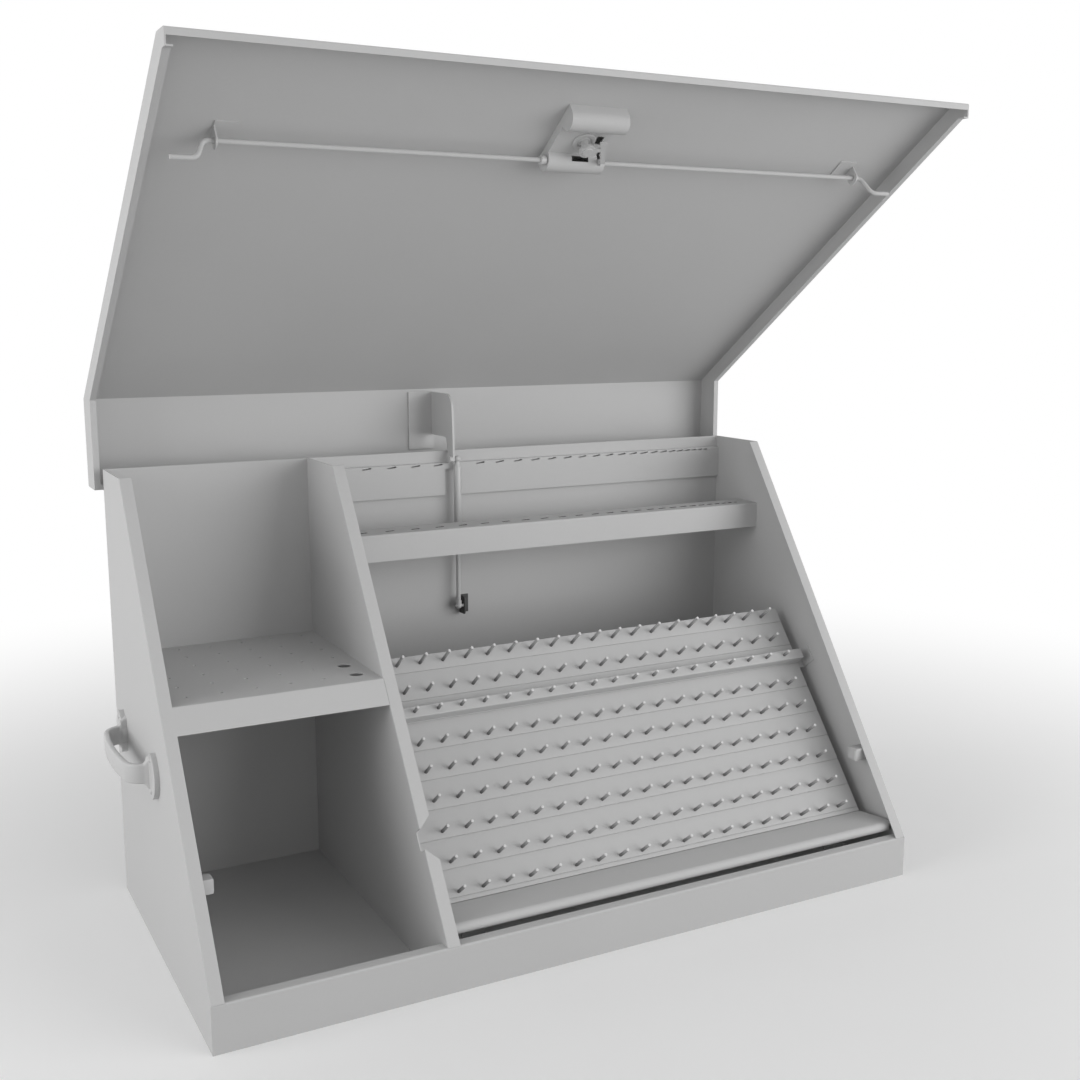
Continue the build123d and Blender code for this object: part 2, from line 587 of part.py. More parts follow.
def build_latch():
    """Latch housing, cranked rod in its guides, lever, collar, lock and strikers."""
    x0 = MID_X - HOUSING_W / 2
    x1 = MID_X + HOUSING_W / 2
    housing = lid_across(hump(ROLL_R, ROLL_D), x0, x1)
    housing -= lid_across(hump(ROLL_R - SHEET, ROLL_D - SHEET), x0 + SHEET, x1 - SHEET)
    window_x = x0 + WINDOW_X
    window = block(window_x, window_x + WINDOW_W, 0, 2 * ROLL_R, -WINDOW_H / 2, WINDOW_H / 2)
    housing -= Pos(0, ROLL_T, ROLL_D) * Rot(WINDOW_UP, 0, 0) * window
    housing -= Pos(MID_X, LOCK_T, ROLL_D) * Cylinder(LOCK_HOLE_R, 4 * SHEET)
    housing -= block(MID_X + HATCH_FROM, MID_X + HATCH_TO, LOCK_T - HATCH_DOWN, LOCK_T + HATCH_UP,
                     ROLL_D - 2 * SHEET, ROLL_D + SHEET)
    housing -= Pos(MID_X, ROD_T, ROD_D) * Rot(0, 90, 0) * Cylinder(ROD_R + ROD_FIT, 2 * HOUSING_W)
    lever_x = MID_X + LEVER_X - LEVER_T / 2
    housing -= block(lever_x - LEVER_PLAY, lever_x + LEVER_T + LEVER_PLAY, ROD_T + LEVER_SLOT_FROM,
                     ROD_T + LEVER_SLOT_TO, ROLL_D - 2 * SHEET, ROLL_D + 2 * ROLL_R)
    parts["latch_housing"] = lid_piece(housing)

    guide_t = ROD_T + GUIDE_R * 0.3
    plate = block(GUIDE_X, GUIDE_X + GUIDE_W, guide_t - GUIDE_L / 2, guide_t + GUIDE_L / 2, SHEET,
                  2 * SHEET)
    ear = outline([(ROD_T - GUIDE_R, SHEET), (ROD_T - GUIDE_R, ROD_D + GUIDE_R),
                   (ROD_T + GUIDE_R, ROD_D + GUIDE_R), (ROD_T + GUIDE_R, SHEET)],
                  [0, GUIDE_R * 0.9, GUIDE_R * 0.9, 0])
    guide = plate + lid_across(ear, GUIDE_X, GUIDE_X + SHEET)
    guide -= Pos(GUIDE_X, ROD_T, ROD_D) * Rot(0, 90, 0) * Cylinder(ROD_R + ROD_FIT, 4 * SHEET)
    parts["rod_guide_left"] = lid_piece(guide)
    parts["rod_guide_right"] = lid_piece(mirror(guide, about=MIDDLE))

    far = ROD_D + CRANK_D
    half = [(CRANK_TIP_X, far), (CRANK_END_X, far), (CRANK_START_X, ROD_D)]
    route = [(x, ROD_T, d) for x, d in half]
    route += [(CASE_W - x, ROD_T, d) for x, d in reversed(half)]
    path = FilletPolyline(*route, radius=CRANK_BEND)
    rod = sweep(Plane(origin=route[0], z_dir=(1, 0, 0)) * Circle(ROD_R), path=path)
    parts["latch_rod"] = lid_piece(rod)

    tip = LEVER_L
    arm = outline([(0, -LEVER_W / 2), (tip, -LEVER_W / 2), (tip, LEVER_W / 2), (0, LEVER_W / 2)],
                  [0, LEVER_W * 0.3, LEVER_W * 0.3, 0])
    arm = Rot(0, 0, LEVER_UP) * arm
    lever = lid_across(Pos(ROD_T, ROD_D) * (arm + Circle(COLLAR_R)), lever_x, lever_x + LEVER_T)
    lever -= Pos(lever_x, ROD_T, ROD_D) * Rot(0, 90, 0) * Cylinder(ROD_R, 8 * LEVER_T)
    parts["rod_lever"] = lid_piece(lever)
    ring = Circle(COLLAR_R) - Circle(ROD_R)
    collar = lid_across(Pos(ROD_T, ROD_D) * ring, x0 - COLLAR_W - SHEET / 3, x0 - SHEET / 3)
    parts["rod_collar"] = lid_piece(collar)

    bore = LOCK_PLUG_R + ROD_FIT

    def turned_part(rings):
        """Stack of discs on the lock's axis: (radius, from, to)."""
        stack = None
        for radius, low, high in rings:
            disc = Pos(MID_X, LOCK_T, (low + high) / 2) * Cylinder(radius, high - low)
            stack = disc if stack is None else stack + disc
        return stack

    body = turned_part([(ESCUTCHEON_R, -ESCUTCHEON, 0), (LOCK_HOLE_R - ROD_FIT, 0, ROLL_D),
                        (LOCK_RING_R, ROLL_D, ROLL_D + LOCK_RING)])
    body = chamfer(body.edges().group_by(Axis.Z)[0], ESCUTCHEON * 0.4)
    body -= turned_part([(bore, -2 * ESCUTCHEON, LOCK_D)])
    parts["lock_body"] = lid_piece(body)
    plug = turned_part([(LOCK_PLUG_R, -ESCUTCHEON - 1, LOCK_D - 3), (LOCK_DISC_R, LOCK_D - 3, LOCK_D)])
    parts["lock_plug"] = lid_piece(plug)
    bar_top = -ESCUTCHEON - 1
    bar = Pos(MID_X, LOCK_T, bar_top - HANDLE_BAR_T / 2) * Box(HANDLE_BAR_L, HANDLE_BAR_W, HANDLE_BAR_T)
    bar = fillet(bar.edges().filter_by(Axis.Z), HANDLE_BAR_W * 0.45)
    bar = fillet(bar.edges().group_by(Axis.Z)[0], HANDLE_BAR_T * 0.3)
    parts["lock_handle"] = lid_piece(bar)
    head_x, head_t = CAM_HEAD
    knee_x, knee_t = CAM_KNEE
    foot_x, foot_t = CAM_FOOT
    half_w = CAM_ARM_W / 2
    link = outline([(head_x - CAM_HEAD_W / 2, head_t), (head_x + CAM_HEAD_W / 2, head_t),
                    (knee_x + half_w, knee_t), (foot_x + half_w, foot_t), (foot_x - half_w, foot_t),
                    (knee_x - half_w, knee_t)], [CAM_CORNER] * 6)
    plan = Circle(CAM_R) + Pos(CAM_TIP / 2, 0) * Rectangle(CAM_TIP, CAM_W)
    plan += Pos(knee_x / 2, knee_t) * Rectangle(knee_x, CAM_NECK) + link
    cam = Pos(MID_X, LOCK_T, LOCK_D) * extrude(plan, amount=CAM_T)
    parts["lock_cam"] = lid_piece(cam)

    end_y, end_z = on_lid(ROD_T, ROD_D + CRANK_D)
    low = end_z + ROD_R + STRIKER_PLAY
    front, _ = on_slope((low + STRIKER_Z - SILL_H) / COS, 0)
    front += (SHEET + STRUT_SIDE) / COS
    striker = block(SHEET, STRIKER_X, front, end_y, low, low + STRIKER_Z)
    striker = chamfer(striker.faces().sort_by(Axis.X)[-1].edges(), SHEET)
    both("striker", striker)


def build_strut():
    """Gas strut between the case's back and the lid's small panel, with its brackets."""
    top_z = STRUT_LOW_Z + STRUT_OPEN
    foot = top_z - STRUT_BALL_R * 2 - STRUT_CYL_L
    here = Pos(STRUT_X, STRUT_Y, 0)
    cylinder = here * Pos(0, 0, foot + STRUT_CYL_L / 2) * Cylinder(STRUT_CYL_R, STRUT_CYL_L)
    ends = [e for e in cylinder.edges().filter_by(GeomType.CIRCLE)]
    cylinder = fillet(ends, STRUT_WALL)
    gland = 2 * STRUT_ROD_R
    cylinder -= here * Pos(0, 0, foot + gland / 2) * Cylinder(STRUT_ROD_R + STRUT_FIT, gland + 2)
    bore_l = STRUT_CYL_L - gland - 2 * STRUT_WALL
    cylinder -= here * Pos(0, 0, foot + gland + bore_l / 2) * Cylinder(STRUT_CYL_R - STRUT_WALL, bore_l)
    parts["strut_cylinder"] = cylinder
    neck_l = top_z - foot - STRUT_CYL_L
    neck = here * Pos(0, 0, top_z - neck_l / 2) * Cylinder(STRUT_NECK_R, neck_l)
    socket = neck + here * Pos(0, 0, top_z) * Sphere(STRUT_BALL_R)
    web_x = STRUT_X - STRUT_BALL_R - STRUT_SIDE
    stud_r = STRUT_STUD_R
    parts["strut_upper_socket"] = socket

    rod_foot = STRUT_LOW_Z + STRUT_EYE_R
    rod = here * Pos(0, 0, rod_foot + STRUT_ROD_L / 2) * Cylinder(STRUT_ROD_R, STRUT_ROD_L)
    parts["strut_rod"] = rod
    eye = Pos(STRUT_X, STRUT_Y, STRUT_LOW_Z) * Sphere(STRUT_EYE_R)
    eye += here * Pos(0, 0, rod_foot) * Cylinder(STRUT_ROD_R + STRUT_WALL, STRUT_EYE_R * 1.5)
    eye -= here * Pos(0, 0, rod_foot + STRUT_ROD_L / 2) * Cylinder(STRUT_ROD_R, STRUT_ROD_L)
    bore = Pos(STRUT_X, STRUT_Y, STRUT_LOW_Z) * Rot(0, 90, 0) * Cylinder(
        stud_r + STRUT_FIT, 4 * STRUT_EYE_R)
    parts["strut_lower_eye"] = eye - bore
    parts["strut_rod"] -= bore
    plate_x = STRUT_X + STRUT_EYE_R + STRUT_SIDE * 10
    stud = Pos((STRUT_X - STRUT_EYE_R + plate_x) / 2, STRUT_Y, STRUT_LOW_Z) * Rot(0, 90, 0) * Cylinder(
        stud_r, plate_x - STRUT_X + STRUT_EYE_R)
    parts["strut_lower_stud"] = stud
    half = LID_GAP * 1.5
    plate = outline([(STRUT_Y - stud_r * 2, STRUT_LOW_Z - half), (BACK_IN, STRUT_LOW_Z - half),
                     (BACK_IN, STRUT_LOW_Z + half), (STRUT_Y - stud_r * 2, STRUT_LOW_Z + half)],
                    [stud_r * 2, 0, 0, stud_r * 2])
    bracket = across(plate, plate_x, plate_x + SHEET)
    bracket += block(plate_x, plate_x + half, BACK_IN - SHEET, BACK_IN, STRUT_LOW_Z - half,
                     STRUT_LOW_Z + half)
    parts["strut_case_bracket"] = bracket

    panel = LID_TOP - SHEET
    lift = HINGE_Z + HINGE_Y
    top_y = lift - top_z
    top_up = STRUT_Y - HINGE_Y + HINGE_Z
    near_y = lift - (top_z + STRUT_BALL_R * 2 + STRUT_BALL_R * 4)
    far_y = near_y - LID_BRACKET_L * 0.75
    web = outline([(top_y + STRUT_STUD_R * 2, top_up - STRUT_STUD_R * 2),
                   (top_y + STRUT_STUD_R * 2, top_up + STRUT_BALL_R * 1.4),
                   (near_y, top_up + STRUT_BALL_R * 4), (near_y, panel), (far_y, panel),
                   (far_y, top_up), (near_y + 0, top_up - STRUT_STUD_R * 2)],
                  [STRUT_STUD_R, STRUT_STUD_R, STRUT_BALL_R, 0, 0, LID_BRACKET_L / 4, STRUT_STUD_R])
    lid_bracket = across(web, web_x - BRACKET_T, web_x)
    lid_bracket += block(web_x - LID_BRACKET_W, web_x, far_y, far_y + LID_BRACKET_L, panel - BRACKET_T,
                         panel)
    parts["strut_lid_bracket"] = opened(lid_bracket)
    nut_x = web_x - BRACKET_T
    nut = Plane(origin=(nut_x - NUT_T, STRUT_Y, top_z), z_dir=(1, 0, 0)) * extrude(
        RegularPolygon(NUT_R, 6), amount=NUT_T)
    parts["strut_nut"] = nut


ROD_Y, ROD_Z = on_lid(ROD_T, ROD_D)
ROD_ALONG = SIN * ROD_Y + COS * (ROD_Z - SILL_H)

build_case()
build_shelf()
build_rails()
build_tray()
build_handles()
build_lid()
build_hinge()
build_latch()
build_strut()

os.makedirs("parts", exist_ok=True)
for name, shape in parts.items():
    export_step(Pos(-MID_X, -CASE_D / 2, 0) * shape, f"parts/{name}.step")
print(len(parts), "nodes")
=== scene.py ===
"""Looks of a sloping-front steel tool chest, dressed over its measured frame.

The chest stands open: a folded hood lid on a gas strut, a peg tray, two slotted rails, a shelf,
a rod latch and an arched handle on each side. One light grey powder coat covers nearly all of it.
"""

from __future__ import annotations

import logging
import math
from dataclasses import dataclass
from enum import Enum, IntEnum
from typing import Callable, Iterable, Sequence

import bmesh
import bpy
from mathutils import Matrix, Vector

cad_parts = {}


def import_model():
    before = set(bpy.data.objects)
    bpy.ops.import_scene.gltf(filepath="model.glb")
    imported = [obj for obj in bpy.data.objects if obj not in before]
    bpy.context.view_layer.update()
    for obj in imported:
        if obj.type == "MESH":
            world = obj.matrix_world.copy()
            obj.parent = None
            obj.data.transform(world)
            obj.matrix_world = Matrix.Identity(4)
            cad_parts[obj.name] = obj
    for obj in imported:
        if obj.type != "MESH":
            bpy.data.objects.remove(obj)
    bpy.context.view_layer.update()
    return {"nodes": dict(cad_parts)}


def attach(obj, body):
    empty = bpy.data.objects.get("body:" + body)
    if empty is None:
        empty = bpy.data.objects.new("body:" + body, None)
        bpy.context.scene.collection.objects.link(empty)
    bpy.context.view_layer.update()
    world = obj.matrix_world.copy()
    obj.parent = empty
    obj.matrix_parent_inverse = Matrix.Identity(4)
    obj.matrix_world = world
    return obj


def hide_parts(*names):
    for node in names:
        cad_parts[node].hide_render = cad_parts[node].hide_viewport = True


LOG = logging.getLogger("tool_chest")
MM = 0.001
RIGHT = Vector((1, 0, 0))
BACK = Vector((0, 1, 0))
UP = Vector((0, 0, 1))
BMesh = bmesh.types.BMesh
Material = bpy.types.Material
Socket = bpy.types.NodeSocket
Point = tuple[float, float]
Outline = tuple[Point, ...]
Size = tuple[float, float, float]
Colour = tuple[float, float, float]


class Slot(Enum):
    """Material slots of the record."""

    CASE = "case_paint"
    LID = "lid_paint"
    TRAY = "tray_paint"
    HARDWARE = "hardware"
    STRUT = "strut"


class Body(Enum):
    """Moving bodies of the chest."""

    CASE = "case"
    LID = "lid"
    LATCH = "latch"
    LOCK = "lock"
    STRUT_ROD = "strut_rod_body"
    STRUT_CYLINDER = "strut_cylinder_body"


class Side(IntEnum):
    """The chest's two sides, as the way to them along x."""

    LEFT = -1
    RIGHT = 1


class Facets(IntEnum):
    """Facets round a turned shape, by how large it looks."""

    HEAD = 24
    PIN = 32
    ROD = 40
    TUBE = 48
    ROSE = 64


class Term:
    """A shader number that adds its Math nodes as it is written in an expression."""

    def __init__(self, kit: NodeKit, socket: Socket) -> None:
        """Wrap a socket.

        Args:
            socket: The output socket that carries the number.
        """
        self.kit = kit
        self.socket = socket

    def _math(self, operation: str, first: Term | float, second: Term | float) -> Term:
        """Add one Math node.

        Args:
            operation: The node's operation.
            first: Its first value.
            second: Its second value.

        Returns:
            The node's result.
        """
        node = self.kit.node("ShaderNodeMath", {"operation": operation}, {0: first, 1: second})
        return Term(self.kit, node.outputs[0])

    def __add__(self, other: Term | float) -> Term:
        """Sum."""
        return self._math("ADD", self, other)

    def __radd__(self, other: float) -> Term:
        """Sum with the number first."""
        return self._math("ADD", other, self)

    def __sub__(self, other: Term | float) -> Term:
        """Difference."""
        return self._math("SUBTRACT", self, other)

    def __rsub__(self, other: float) -> Term:
        """Difference with the number first."""
        return self._math("SUBTRACT", other, self)

    def __mul__(self, other: Term | float) -> Term:
        """Product."""
        return self._math("MULTIPLY", self, other)

    def __rmul__(self, other: float) -> Term:
        """Product with the number first."""
        return self._math("MULTIPLY", other, self)

    def __lt__(self, other: Term | float) -> Term:
        """1 where it is less, else 0."""
        return self._math("LESS_THAN", self, other)


class NodeKit:
    """Makes the nodes of one material or world."""

    def __init__(self, tree: bpy.types.NodeTree, keep: bool = False) -> None:
        """Start from an empty tree, or add to one.

        Args:
            tree: The node tree to fill.
            keep: Whether its nodes stay.
        """
        self.tree = tree
        if not keep:
            tree.nodes.clear()

    def node(self, kind: str, settings: dict | None = None,
             sockets: dict | None = None) -> bpy.types.Node:
        """Add a node, set its settings, then fill its sockets.

        Args:
            kind: The node's type name.
            settings: Attributes to set first.
            sockets: Values, terms or output sockets by input name or number.

        Returns:
            The new node.
        """
        node = self.tree.nodes.new(kind)
        for key, value in (settings or {}).items():
            setattr(node, key, value)
        for key, value in (sockets or {}).items():
            if isinstance(value, Term):
                self.tree.links.new(value.socket, node.inputs[key])
            elif isinstance(value, Socket):
                self.tree.links.new(value, node.inputs[key])
            else:
                node.inputs[key].default_value = value
        return node

    def noise(self, place: Socket, scale: float, detail: float = 3.0) -> Term:
        """Noise at a number of cells per metre.

        Args:
            place: The coordinates.
            scale: Cells per metre.
            detail: Octaves.

        Returns:
            The noise, about 0.5 on average.
        """
        made = self.node("ShaderNodeTexNoise", {},
                         {"Vector": place, "Scale": scale, "Detail": detail})
        return Term(self, made.outputs["Fac"])

    def along(self, place: Socket, direction: Vector, start: Vector) -> Term:
        """Distance from a start along a direction.

        Args:
            place: The coordinates.
            direction: Unit vector.
            start: Where the distance is zero.

        Returns:
            The distance in metres.
        """
        made = self.node("ShaderNodeVectorMath", {"operation": "DOT_PRODUCT"},
                         {0: place, 1: direction})
        return Term(self, made.outputs["Value"]) - start.dot(direction)

    def blend(self, share: Term | float, first: Colour | Socket, second: Colour) -> Socket:
        """Mix two colours.

        Args:
            share: How much of the second.
            first: Colour where the share is 0, or the socket that carries it.
            second: Colour where the share is 1.

        Returns:
            The mixed colour's socket.
        """
        start = (*first, 1.0) if isinstance(first, tuple) else first
        mix = self.node("ShaderNodeMix", {"data_type": "RGBA"},
                        {0: share, 6: start, 7: (*second, 1.0)})
        return mix.outputs[2]

    def smooth_share(self, value: Term | Socket, low: float, high: float) -> Term:
        """Share that grows smoothly from 0 to 1 between two values.

        Args:
            value: What it follows.
            low: Value where it is 0.
            high: Value where it is 1.

        Returns:
            The share.
        """
        made = self.node("ShaderNodeMapRange", {"interpolation_type": "SMOOTHSTEP"},
                         {"Value": value, "From Min": low, "From Max": high})
        return Term(self, made.outputs["Result"])


@dataclass(frozen=True)
class HollowShade:
    """Round cavity whose inside is painted near black as shade."""

    start: Vector
    across: Vector
    down: Vector
    inwards: Vector
    half: float
    radius: float

    def inside(self, kit: NodeKit, place: Socket) -> Term:
        """Mask that is 1 where shade is painted.

        Args:
            kit: Maker of the nodes.
            place: The coordinates.

        Returns:
            The mask.
        """
        side = kit.along(place, self.across, self.start)
        low = kit.along(place, self.down, self.start)
        deep = kit.along(place, self.inwards, self.start)
        disc = low * low + deep * deep < self.radius ** 2
        return (side * side < self.half ** 2) * disc


@dataclass(frozen=True)
class SlotShade:
    """Painted shade in punched slots: all that lies in a box is painted near black."""

    low: Vector
    high: Vector

    def inside(self, kit: NodeKit, place: Socket) -> Term:
        """Mask that is 1 in the box.

        Args:
            kit: Maker of the nodes.
            place: The coordinates.

        Returns:
            The mask.
        """
        middle = (self.low + self.high) / 2
        half = (self.high - self.low) / 2
        masks = []
        for axis, reach in zip((RIGHT, BACK, UP), half):
            off = kit.along(place, axis, middle)
            masks.append(off * off < reach ** 2)
        return masks[0] * masks[1] * masks[2]


@dataclass(frozen=True)
class Finish:
    """What every finish shares: a material under its name and one shader at its end."""

    name: str

    def material(self) -> Material:
        """Build the material.

        Returns:
            The finished material.
        """
        made = bpy.data.materials.new(self.name)
        made.use_nodes = True
        kit = NodeKit(made.node_tree)
        place = kit.node("ShaderNodeTexCoord").outputs["Object"]
        shader = kit.node("ShaderNodeBsdfPrincipled", {}, self.sockets(kit, place))
        kit.node("ShaderNodeOutputMaterial", {}, {"Surface": shader.outputs["BSDF"]})
        return made

    def sockets(self, kit: NodeKit, place: Socket) -> dict:
        """What the shader's sockets take.

        Args:
            kit: Maker of the nodes.
            place: The coordinates.

        Returns:
            Values, terms and sockets by the shader's input names.
        """
        raise NotImplementedError


@dataclass(frozen=True)
class PowderCoat(Finish):
    """Matte powder coat: fine orange peel, faint clouding, slightly rubbed sheen, and near black
    painted shade where a mask says.
    """

    colour: Colour
    roughness: float = 0.62
    rubbed: float = 0.1
    gloss: float = 0.35
    peel_scale: float = 1100.0
    peel_depth: float = 0.00005
    peel_strength: float = 0.35
    clouding: float = 0.035
    cloud_scale: float = 7.0
    speck_scale: float = 260.0
    speck_share: float = 0.3
    # Near black colour painted into the masked place as shade.
    painted_shade: Colour = (0.012, 0.012, 0.012)
    shade_mask: HollowShade | SlotShade | None = None

    def sockets(self, kit: NodeKit, place: Socket) -> dict:
        """What the shader's sockets take.

        Args:
            kit: Maker of the nodes.
            place: The coordinates.

        Returns:
            Values, terms and sockets by the shader's input names.
        """
        cloud = kit.noise(place, self.cloud_scale, 4.0)
        speck = kit.noise(place, self.speck_scale, 2.0)
        peel = kit.noise(place, self.peel_scale, 2.0)
        dark = tuple(c * (1 - self.clouding) for c in self.colour)
        light = tuple(min(1.0, c * (1 + self.clouding)) for c in self.colour)
        colour = kit.blend(cloud * (1 - self.speck_share) + speck * self.speck_share, dark, light)
        # Paint shade near black where the mask is 1.
        if self.shade_mask:
            colour = kit.blend(self.shade_mask.inside(kit, place), colour, self.painted_shade)
        bump = kit.node("ShaderNodeBump", {}, {
            "Strength": self.peel_strength, "Distance": self.peel_depth, "Height": peel})
        return {"Base Color": colour, "Specular IOR Level": self.gloss,
                "Roughness": cloud * self.rubbed + (self.roughness - self.rubbed / 2),
                "Normal": bump.outputs["Normal"]}


@dataclass(frozen=True)
class SatinSteel(Finish):
    """Painted or plated small part with a soft sheen and fine drawn lines along one axis."""

    colour: Colour
    roughness: float = 0.42
    rubbed: float = 0.12
    lines: Size = (30.0, 900.0, 900.0)
    line_share: float = 0.6
    line_depth: float = 0.00002
    line_strength: float = 0.2
    cloud_scale: float = 35.0
    darker: float = 0.95
    lighter: float = 1.04

    def sockets(self, kit: NodeKit, place: Socket) -> dict:
        """What the shader's sockets take.

        Args:
            kit: Maker of the nodes.
            place: The coordinates.

        Returns:
            Values, terms and sockets by the shader's input names.
        """
        drawn = kit.node("ShaderNodeMapping", {}, {"Vector": place, "Scale": self.lines})
        lines = kit.noise(drawn.outputs["Vector"], 1.0)
        cloud = kit.noise(place, self.cloud_scale)
        dark = tuple(c * self.darker for c in self.colour)
        light = tuple(min(1.0, c * self.lighter) for c in self.colour)
        colour = kit.blend(lines * self.line_share + cloud * (1 - self.line_share), dark, light)
        bump = kit.node("ShaderNodeBump", {}, {
            "Strength": self.line_strength, "Distance": self.line_depth, "Height": lines})
        return {"Base Color": colour, "Normal": bump.outputs["Normal"],
                "Roughness": lines * self.rubbed + (self.roughness - self.rubbed / 2)}


@dataclass(frozen=True)
class PegPaintedShade(Finish):
    """Peg with painted shade: darkest at the foot and paler towards the tip."""

    start: Vector
    out: Vector
    reach: float
    # Dark at the foot, paler at the top: painted shade near the tray.
    foot: Colour = (0.13, 0.13, 0.13)
    top: Colour = (0.42, 0.42, 0.42)
    drop_scale: float = 420.0
    drop_share: float = 0.16
    roughness: float = 0.55
    rubbed: float = 0.2

    def sockets(self, kit: NodeKit, place: Socket) -> dict:
        """What the shader's sockets take.

        Args:
            kit: Maker of the nodes.
            place: The coordinates.

        Returns:
            Values, terms and sockets by the shader's input names.
        """
        # Share that fades the painted shade out with height above the foot.
        pale = kit.smooth_share(kit.along(place, self.out, self.start), 0.0, self.reach)
        drops = kit.noise(place, self.drop_scale, 2.0)
        uneven = drops * self.drop_share + (1 - self.drop_share / 2)
        return {"Base Color": kit.blend(pale * uneven, self.foot, self.top),
                "Roughness": drops * self.rubbed + (self.roughness - self.rubbed / 2)}


class Finishes:
    """The chest's finishes, each built once."""

    GREY: Colour = (0.5, 0.5, 0.5)
    SHADE: Colour = (0.05, 0.05, 0.05)
    # Pale grey painted onto the peg tips as a highlight.
    PAINTED_HIGHLIGHT: Colour = (0.66, 0.66, 0.66)

    def __init__(self) -> None:
        """Build every finish."""
        self.case = PowderCoat("case_powder_coat", self.GREY).material()
        self.lid = PowderCoat("lid_powder_coat", self.GREY).material()
        self.tray = PowderCoat("tray_powder_coat", self.GREY, peel_scale=1300.0).material()
        # The front rail's slot walls get painted shade, near black.
        self.rail = PowderCoat("rail_coat_painted_shade", self.GREY, shade_mask=Layout.rail_slot_shade()).material()
        # Housing and rod are painted near black inside the lower roll, as shade behind the window.
        self.barrel_shaded = PowderCoat("barrel_coat_painted_shade", self.GREY, shade_mask=Layout.barrel_shaded()).material()
        self.peg_tip_highlight = PowderCoat("peg_tip_painted_highlight", self.PAINTED_HIGHLIGHT).material()
        self.hardware = SatinSteel("painted_hardware", self.GREY).material()
        self.strut = SatinSteel("strut_satin", self.GREY, roughness=0.34,
                                lines=(900.0, 900.0, 40.0)).material()
        # The strut's case bracket is painted near black as shade in its recess.
        self.bracket = SatinSteel("bracket_painted_shade", self.SHADE, roughness=0.5).material()

    def of(self, slot: Slot) -> Material:
        """The finish of a slot."""
        return {Slot.CASE: self.case, Slot.LID: self.lid, Slot.TRAY: self.tray,
                Slot.HARDWARE: self.hardware, Slot.STRUT: self.strut}[slot]


def at(x: float, y: float, z: float) -> Vector:
    """Point of the frame from millimetres off the case's lower front left corner.

    Args:
        x: To the right.
        y: To the back.
        z: Up.

    Returns:
        The point in metres in the shared frame.
    """
    return Vector(((x - Layout.WIDTH / 2) * MM, (y - Layout.DEPTH / 2) * MM, z * MM))


def axes(origin: Vector, right: Vector, up: Vector, out: Vector) -> Matrix:
    """Placement with its origin and three axes, for shapes drawn in millimetres.

    Args:
        origin: Where the drawing's zero lies.
        right: Direction of the drawing's x.
        up: Direction of the drawing's y.
        out: Direction of the drawing's z.

    Returns:
        The matrix from millimetres of the drawing to the frame.
    """
    turn = Matrix((right, up, out)).transposed().to_4x4()
    return Matrix.Translation(origin) @ turn @ Matrix.Scale(MM, 4)


class Layout:
    """Sizes that the pieces share, in millimetres, from the measured frame.

    ROLL says how far down the lid and inwards the latch housing's lower roll lies, and its
    radius. WINDOW is the middle of its window and half its width, ROLL_WALL its sheet, and
    RAIL_SLOTS two corners of the box round the front rail's slots.
    """

    WIDTH = 914.4
    DEPTH = 440.3
    HEIGHT = 545.0
    TOP_DEPTH = 101.9
    SILL = 53.8
    LID_GAP = 8.5
    LID_RISE = 15.5
    HINGE_OUT = 11.45
    HINGE_DROP = 30.25
    ROD_DOWN = 494.8
    ROD_IN = 14.0
    ROLL = (491.2, 10.2, 12.4)
    WINDOW = (450.7, 27.0)
    ROLL_WALL = 1.2
    RAIL_SLOTS = ((262.0, 349.0, 452.9), (912.0, 359.0, 454.2))

    @classmethod
    def lid(cls) -> Matrix:
        """Place the open lid's sheet.

        Returns:
            Its placement: x to the right, y down the lid, z inwards.
        """
        run = cls.DEPTH - cls.TOP_DEPTH
        rise = cls.HEIGHT - cls.SILL
        length = math.hypot(run, rise)
        sine, cosine = run / length, rise / length
        top = cls.HEIGHT + cls.LID_RISE
        bend = (sine * (top - cls.SILL) - cls.LID_GAP) / cosine
        hinge = (cls.DEPTH + cls.HINGE_OUT, cls.HEIGHT - cls.HINGE_DROP)
        origin = at(0, hinge[0] + top - hinge[1], hinge[1] - bend + hinge[0])
        return axes(origin, RIGHT, Vector((0, -cosine, sine)), Vector((0, -sine, -cosine)))

    @classmethod
    def barrel_shaded(cls) -> HollowShade:
        """Mark where shade is painted inside the latch housing's lower roll, behind its window.

        Returns:
            The hollow.
        """
        lid = cls.lid()
        down, inwards, radius = cls.ROLL
        middle, half = cls.WINDOW
        turn = lid.to_3x3().normalized()
        return HollowShade(lid @ Vector((middle, down, inwards)), *turn.transposed(), half * MM,
                      (radius - cls.ROLL_WALL) * MM)

    @classmethod
    def rail_slot_shade(cls) -> SlotShade:
        """Where shade is painted in the front rail's slots."""
        return SlotShade(*(at(*corner) for corner in cls.RAIL_SLOTS))


